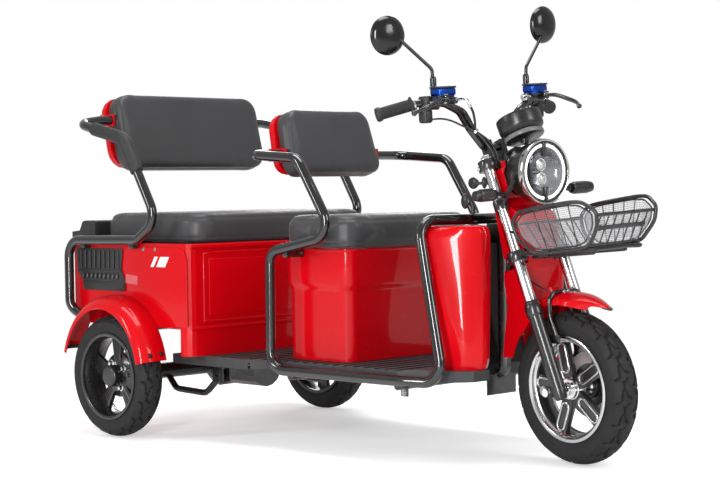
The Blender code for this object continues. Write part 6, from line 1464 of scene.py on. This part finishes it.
def leg_shield(name, side):
    """Smooth shell of one leg shield, open to the rear."""
    top, foot = 0.636, 0.2533
    front, middle = 1.236, 0.185
    shoulder_radius = 0.04
    levels = [(foot, 0.9, 0.0), (foot + 0.008, 0.935, 0.0), (foot + 0.018, 0.965, 0.0),
              (foot + 0.03, 0.98, 0.0), (0.34, 0.99, 0.0), (0.45, 1.0, 0.0), (0.54, 1.0, 0.0)]
    for index in range(1, 11):
        turn = math.radians(9.0 * index)
        levels.append((top - shoulder_radius + shoulder_radius * math.sin(turn),
                       1.0 - 0.12 * (1 - math.cos(turn)), 0.03 * (1 - math.cos(turn))))
    shape = bmesh.new()
    edges = None
    for z, share, shoulder in levels:
        down = (top - z) / (top - foot)
        rear = 1.105 + 0.041 * down
        outer = 0.256 - 0.016 * down - shoulder
        inner = 0.108 + 0.016 * down
        wrap = 0.044 - 0.038 * down
        plan = [(0.0, outer), (0.33, outer - 0.018), (0.68, 0.208), (0.94, 0.18), (1.0, 0.162),
                (0.95, inner + 0.02), (0.8, inner), (0.42, inner - 0.85 * wrap), (0.0, inner - wrap)]
        ring = smooth_route([(rear + (front - rear) * ahead * share,
                              side * (middle + (y - middle) * share), z) for ahead, y in plan])
        if edges is None:
            verts = [shape.verts.new(point) for point in ring]
            edges = [shape.edges.new(pair) for pair in zip(verts, verts[1:])]
        else:
            grown = bmesh.ops.extrude_edge_only(shape, edges=edges)["geom"]
            new = [part for part in grown if isinstance(part, bmesh.types.BMVert)]
            for vert in new:
                others = [edge.other_vert(vert) for edge in vert.link_edges]
                before = [other for other in others if other not in new][0]
                vert.co = ring[verts.index(before)]
            verts = [min(new, key=lambda vert: (vert.co - point).length) for point in ring]
            fresh = set(new)
            edges = [part for part in grown if isinstance(part, bmesh.types.BMEdge)
                     and part.verts[0] in fresh and part.verts[1] in fresh]
    bmesh.ops.contextual_create(shape, geom=verts)
    thickened(shape, 0.0035, "x")
    bmesh.ops.transform(shape, matrix=TO_FRAME, verts=shape.verts)
    piece("leg_shield_shell_" + name, shape, RED, "frame", 50.0, "leg_shield_" + name)


def seat_box():
    """Smooth box under the driver's seat, stepped in below its crease."""
    middle_x, half_x, half_y, corner = 0.6725, 0.1325, 0.245, 0.04
    crease, crease_height, step_in = 0.472, 0.023, 0.0062
    shape = block((0.54, -half_y, 0.2533), (0.805, half_y, 0.572))
    upright = [edge for edge in shape.edges if abs(edge.verts[0].co.z - edge.verts[1].co.z) > 0.1]
    bmesh.ops.bevel(shape, geom=upright, offset=corner, segments=14, profile=0.5, affect="EDGES", material=-1)
    for level in (0.56, crease, 0.468, 0.462, 0.456, 0.4515, 0.449):
        bmesh.ops.bisect_plane(shape, geom=shape.verts[:] + shape.edges[:] + shape.faces[:],
                               plane_co=(0, 0, level), plane_no=(0, 0, 1))
    for vert in shape.verts:
        share = max(0.0, min(1.0, (crease - vert.co.z) / crease_height))
        inwards = share * share * (3 - 2 * share) * step_in
        vert.co.x -= math.copysign(inwards, vert.co.x - middle_x)
        vert.co.y -= math.copysign(inwards, vert.co.y)
    bmesh.ops.delete(shape, geom=[face for face in shape.faces if face.normal.z > 0.95], context="FACES")
    thickened(shape, 0.004, "x")
    bmesh.ops.transform(shape, matrix=TO_FRAME, verts=shape.verts)
    piece("seat_box_shell", shape, RED, "frame", 35.0, "driver_seat_box")
    loop = rounded([((half_x, 0, 0), 0.0), ((half_x, half_y, 0), corner), ((-half_x, half_y, 0), corner),
                    ((-half_x, -half_y, 0), corner), ((half_x, -half_y, 0), corner),
                    ((half_x, 0, 0), 0.0)])[:-1]
    rim = swept(on_vehicle([point + Vector((middle_x, 0.0, 0.5665)) for point in loop]), 0.005, 12,
                cyclic=True, flat=0.55, up=Vector((0, 0, 1)))
    piece("seat_box_rim", rim, RED, "frame")


for name, side in SIDES:
    side_panels(name, side)
front_panel()
for name, side in SIDES:
    leg_shield(name, side)
seat_box()


# Lock lever and bag hook
def leaf(centre, half, place):
    """A flat almond-shaped knob."""
    shape = bmesh.new()
    bmesh.ops.create_uvsphere(shape, u_segments=28, v_segments=16, radius=1.0)
    bmesh.ops.scale(shape, vec=half, verts=shape.verts)
    for vert in shape.verts:
        vert.co.z *= 1.0 - 0.35 * max(0.0, vert.co.x / half[0])
    bmesh.ops.translate(shape, vec=centre, verts=shape.verts)
    bmesh.ops.transform(shape, matrix=place, verts=shape.verts)
    return shape


def hooks():
    upper = joined(
        leaf((1.158, -0.1, 0.754), (0.0215, 0.007, 0.0165), STEERED),
        leaf((1.194, -0.094, 0.7545), (0.007, 0.008, 0.016), STEERED),
        swept(steered(((1.168, -0.099, 0.753), (1.19, -0.095, 0.753), (1.212, -0.09, 0.752))), 0.0042, 14))
    piece("steering_lock_lever", upper, SATIN_BLACK, "steering")
    lower = joined(
        leaf((1.118, -0.1, 0.7), (0.016, 0.0065, 0.021), TO_FRAME),
        swept(on_vehicle(((1.14, -0.095, 0.664), (1.142, -0.096, 0.684), (1.134, -0.098, 0.704),
                          (1.122, -0.1, 0.71))), 0.0045, 14))
    piece("bag_hook", lower, SATIN_BLACK, "frame")


hooks()


# Cushions
CUSHION_PRESSURE, CLOTH_FRAMES = 4.0, 20
SEAM_STEP, SEAM_WIDTH, SEAM_DEPTH = 0.012, 0.011, 0.0022


def cushion_copy(node, name):
    """A merged copy of a cushion's CAD solid."""
    shape = bmesh.new()
    shape.from_mesh(bpy.data.objects[node].data)
    bmesh.ops.remove_doubles(shape, verts=shape.verts, dist=1e-5)
    mesh = bpy.data.meshes.new(name)
    shape.to_mesh(mesh)
    shape.free()
    return added(name, mesh)


def evaluated_mesh(item):
    bpy.context.view_layer.update()
    return bpy.data.meshes.new_from_object(item.evaluated_get(bpy.context.evaluated_depsgraph_get()))


def take_mesh(item, mesh):
    old = item.data
    item.modifiers.clear()
    item.data = mesh
    bpy.data.meshes.remove(old)


def smoothed(item, passes, shrink=0.0):
    """Smooth a mesh a few times over, and draw its skin in along its normals."""
    shape = bmesh.new()
    shape.from_mesh(item.data)
    for _ in range(passes):
        bmesh.ops.smooth_vert(shape, verts=shape.verts, factor=0.5, use_axis_x=True, use_axis_y=True,
                              use_axis_z=True)
    if shrink:
        shape.normal_update()
        for vert in shape.verts:
            vert.co -= vert.normal * shrink
    shape.to_mesh(item.data)
    shape.free()


def inflate(item, voxel, shrink, most):
    """Fill a cushion by a cloth simulation, and hold every point within a distance of its start."""
    remesh = item.modifiers.new("remesh", "REMESH")
    remesh.mode = "VOXEL"
    remesh.voxel_size = voxel
    take_mesh(item, evaluated_mesh(item))
    smoothed(item, 3, shrink)
    start = [vert.co.copy() for vert in item.data.vertices]
    cloth = item.modifiers.new("cloth", "CLOTH")
    cloth.settings.use_pressure = True
    cloth.settings.uniform_pressure_force = CUSHION_PRESSURE
    cloth.settings.quality = 4
    cloth.settings.effector_weights.gravity = 0.0
    cloth.point_cache.frame_end = CLOTH_FRAMES
    scene = bpy.context.scene
    for number in range(1, CLOTH_FRAMES + 1):
        scene.frame_set(number)
    filled = evaluated_mesh(item)
    scene.frame_set(1)
    take_mesh(item, filled)
    for vert, before in zip(item.data.vertices, start):
        move = vert.co - before
        if move.length > most:
            vert.co = before + move * (most / move.length)
    smoothed(item, 4)


def seam_loop(low, high, radius, level, axes):
    """A rounded rectangle between two corners in the plane of two axes."""
    first, second, third = axes
    corners = []
    left, right = low[0] + radius, high[0] - radius
    foot, top = low[1] + radius, high[1] - radius
    for middle_x, middle_y, begin in ((right, top, 0.0), (left, top, 90.0), (left, foot, 180.0),
                                      (right, foot, 270.0)):
        for index in range(9):
            turn = math.radians(begin + 90.0 * index / 8)
            corners.append((middle_x + radius * math.cos(turn), middle_y + radius * math.sin(turn)))
    points = []
    for (ax, ay), (bx, by) in zip(corners, corners[1:] + corners[:1]):
        length = math.hypot(bx - ax, by - ay)
        steps = max(1, round(length / SEAM_STEP))
        for index in range(steps):
            t = index / steps
            point = Vector((0.0, 0.0, 0.0))
            point[first], point[second], point[third] = ax + (bx - ax) * t, ay + (by - ay) * t, level
            points.append(point)
    return points


def laid_on(item, points, lift):
    """The nearest places on a cushion's skin, lifted off it a little."""
    tree = BVHTree.FromObject(item, bpy.context.evaluated_depsgraph_get())
    found = []
    for point in points:
        place, normal, _, _ = tree.find_nearest(point)
        found.append(place + normal * lift)
    for _ in range(4):
        found = [(before + 2 * here + after) / 4
                 for before, here, after in zip(found[-1:] + found, found, found[1:] + found[:1])]
    return found


def pull_in(item, points):
    """Press a seam into the skin."""
    count = len(points)
    tree = BVHTree.FromPolygons(points + [point + Vector((0, 0, 1e-5)) for point in points],
                                [(index, (index + 1) % count, index + count) for index in range(count)])
    shape = bmesh.new()
    shape.from_mesh(item.data)
    shape.normal_update()
    for vert in shape.verts:
        place, _, _, distance = tree.find_nearest(vert.co, SEAM_WIDTH)
        if place is not None:
            share = 1 - distance / SEAM_WIDTH
            vert.co -= vert.normal * SEAM_DEPTH * share * share * (3 - 2 * share)
    shape.to_mesh(item.data)
    shape.free()


def cushion(node, body, voxel, shrink, most, seams):
    """A filled cushion that stands for a CAD solid, with sewn seams and piping."""
    item = cushion_copy(node, node + "_cover")
    inflate(item, voxel, shrink, most)
    loops = []
    for points, pipe_radius in seams:
        laid = laid_on(item, points, 0.0)
        pull_in(item, laid)
        if pipe_radius:
            loops.append(swept(laid_on(item, laid, pipe_radius * 0.45), pipe_radius, 8, cyclic=True))
    smooth = item.modifiers.new("smooth", "SUBSURF")
    smooth.levels = smooth.render_levels = 1
    take_mesh(item, evaluated_mesh(item))
    item.data.shade_smooth()
    item.data.materials.clear()
    item.data.materials.append(VINYL)
    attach(item, body)
    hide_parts(node)
    if loops:
        piece(node + "_piping", joined(*loops), VINYL, body, 60.0)


def seat_seams(node, radius):
    """A seam round the top of a seat, and a piped one round its foot."""
    inset, outset, rise = 0.014, 0.002, 0.012
    low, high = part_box(node)
    upper = seam_loop((low.x + inset, low.y + inset), (high.x - inset, high.y - inset), radius,
                      high.z - rise, (0, 1, 2))
    lower = seam_loop((low.x - outset, low.y - outset), (high.x + outset, high.y + outset), radius,
                      low.z + rise, (0, 1, 2))
    return [(upper, 0.0), (lower, 0.0019)]


def backrest_seams(node, lean, half, height, radius):
    """A seam round the front of a backrest that leans back by some degrees."""
    ahead = Vector((0.012, 0, 0))
    low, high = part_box(node)
    turn = Matrix.Translation((low + high) / 2) @ Matrix.Rotation(-math.radians(lean), 4, "Y")
    flat = seam_loop((-half, -height / 2), (half, height / 2), radius, 0.0, (1, 2, 0))
    return [([turn @ (point + ahead) for point in flat], 0.0)]


def seat(node, body, voxel, corner):
    cushion(node, body, voxel, 0.002, 0.006, seat_seams(node, corner))


def backrest(node, lean, half, height, corner):
    cushion(node, "frame", 0.005, 0.001, 0.003, backrest_seams(node, lean, half, height, corner))


seat("passenger_seat_cushion", "passenger_seat", 0.006, 0.04)
seat("driver_seat_cushion", "driver_seat", 0.005, 0.06)
backrest("passenger_backrest_cushion", 13.5, 0.292, 0.244, 0.055)
backrest("driver_backrest_cushion", 15.5, 0.185, 0.2, 0.045)


# Floor, lights and camera
FLOOR_GLOW = 0.42
ROOM_LIGHT = 0.3
GLOSS_SEES = 0.3
FADE_FROM, FADE_TO = 1.3, 2.6


def seen_share(nodes, links):
    """How much of the white backdrop a ray sees: all of it from the camera, a share in gloss."""
    path = nodes.new("ShaderNodeLightPath")
    total = path.outputs["Is Camera Ray"]
    for name, share in (("Is Glossy Ray", GLOSS_SEES), ("Is Transmission Ray", 1.0)):
        part = nodes.new("ShaderNodeMath")
        part.operation = "MULTIPLY"
        part.inputs[1].default_value = share
        links.new(path.outputs[name], part.inputs[0])
        most = nodes.new("ShaderNodeMath")
        most.operation = "MAXIMUM"
        links.new(total, most.inputs[0])
        links.new(part.outputs["Value"], most.inputs[1])
        total = most.outputs["Value"]
    return total


def studio_floor():
    """White paper that catches shadows near the vehicle and fades to plain white further out."""
    floor = bmesh.new()
    bmesh.ops.create_grid(floor, x_segments=2, y_segments=2, size=30.0)
    mesh = bpy.data.meshes.new("studio_floor")
    floor.to_mesh(mesh)
    floor.free()
    added("studio_floor", mesh)
    material = bpy.data.materials.new("studio_paper")
    material.use_nodes = True
    nodes, links = material.node_tree.nodes, material.node_tree.links
    shader = nodes["Principled BSDF"]
    shader.inputs["Base Color"].default_value = (0.92, 0.92, 0.92, 1.0)
    shader.inputs["Roughness"].default_value = 0.9
    shader.inputs["Specular IOR Level"].default_value = 0.0
    glow = nodes.new("ShaderNodeEmission")
    glow.inputs["Strength"].default_value = FLOOR_GLOW
    both = nodes.new("ShaderNodeAddShader")
    mix = nodes.new("ShaderNodeMixShader")
    links.new(shader.outputs["BSDF"], both.inputs[0])
    links.new(glow.outputs["Emission"], both.inputs[1])
    links.new(seen_share(nodes, links), mix.inputs["Fac"])
    links.new(shader.outputs["BSDF"], mix.inputs[1])
    reach = nodes.new("ShaderNodeVectorMath")
    reach.operation = "LENGTH"
    links.new(nodes.new("ShaderNodeTexCoord").outputs["Object"], reach.inputs[0])
    fade = nodes.new("ShaderNodeMapRange")
    fade.interpolation_type = "SMOOTHSTEP"
    fade.inputs["From Min"].default_value = FADE_FROM
    fade.inputs["From Max"].default_value = FADE_TO
    links.new(reach.outputs["Value"], fade.inputs["Value"])
    far = nodes.new("ShaderNodeEmission")
    far.inputs["Strength"].default_value = 1.0
    paper = nodes.new("ShaderNodeMixShader")
    links.new(fade.outputs["Result"], paper.inputs["Fac"])
    links.new(both.outputs["Shader"], paper.inputs[1])
    links.new(far.outputs["Emission"], paper.inputs[2])
    links.new(paper.outputs["Shader"], mix.inputs[2])
    links.new(mix.outputs["Shader"], nodes["Material Output"].inputs["Surface"])
    mesh.materials.append(material)


def studio_world():
    """Dim light on the vehicle from all round, and white wherever the camera looks past it."""
    world = bpy.data.worlds.new("studio_world")
    bpy.context.scene.world = world
    world.use_nodes = True
    nodes, links = world.node_tree.nodes, world.node_tree.links
    light = nodes["Background"]
    light.inputs["Color"].default_value = (1.0, 1.0, 1.0, 1.0)
    light.inputs["Strength"].default_value = ROOM_LIGHT
    white = nodes.new("ShaderNodeBackground")
    white.inputs["Color"].default_value = (1.0, 1.0, 1.0, 1.0)
    white.inputs["Strength"].default_value = 1.0
    mix = nodes.new("ShaderNodeMixShader")
    links.new(seen_share(nodes, links), mix.inputs["Fac"])
    links.new(light.outputs["Background"], mix.inputs[1])
    links.new(white.outputs["Background"], mix.inputs[2])
    links.new(mix.outputs["Shader"], nodes["World Output"].inputs["Surface"])


def softbox(name, place, target, width, height, power):
    lamp = bpy.data.lights.new(name, "AREA")
    lamp.shape = "RECTANGLE"
    lamp.size, lamp.size_y = width, height
    lamp.energy = power
    item = added(name, lamp)
    item.location = place
    item.rotation_euler = (Vector(target) - Vector(place)).to_track_quat("-Z", "Y").to_euler()


def camera():
    """The camera solved from the photo; turns in radians, focal length in the photo's pixels."""
    yaw, pitch, roll = 0.7831, 0.0287, -0.0153
    place = TO_FRAME @ Vector((4.3333, -3.7385, 0.74))
    focal_pixels, photo_width, sensor_width = 1785.88, 720, 36.0
    forward = Vector((-math.sin(yaw) * math.cos(pitch), math.cos(yaw) * math.cos(pitch), -math.sin(pitch)))
    level = Vector((math.cos(yaw), math.sin(yaw), 0.0))
    up = level.cross(forward)
    right = level * math.cos(roll) + up * math.sin(roll)
    top = -level * math.sin(roll) + up * math.cos(roll)
    lens = bpy.data.cameras.new("photo_camera")
    lens.sensor_width = sensor_width
    lens.lens = focal_pixels / photo_width * sensor_width
    lens.clip_end = 100.0
    item = added("photo_camera", lens)
    item.matrix_world = Matrix((
        (right.x, top.x, -forward.x, place.x),
        (right.y, top.y, -forward.y, place.y),
        (right.z, top.z, -forward.z, place.z),
        (0.0, 0.0, 0.0, 1.0),
    ))
    bpy.context.scene.camera = item


studio_floor()
studio_world()
softbox("key_strip", (2.15, -3.95, 1.25), (0.3, 0.0, 0.5), 0.42, 2.3, 136)
softbox("front_left_softbox", (4.6, 0.6, 2.4), (0.2, 0.0, 0.5), 1.4, 2.0, 72)
softbox("side_strip", (-1.6, -3.6, 1.9), (-0.2, 0.0, 0.5), 0.35, 1.6, 40)
softbox("top_softbox", (0.0, 0.0, 4.4), (0.0, 0.0, 0.5), 3.0, 2.0, 125)
softbox("rear_softbox", (-3.4, 3.2, 2.6), (0.0, 0.0, 0.5), 2.0, 2.0, 60)
camera()
bpy.context.scene.view_settings.view_transform = "Standard"
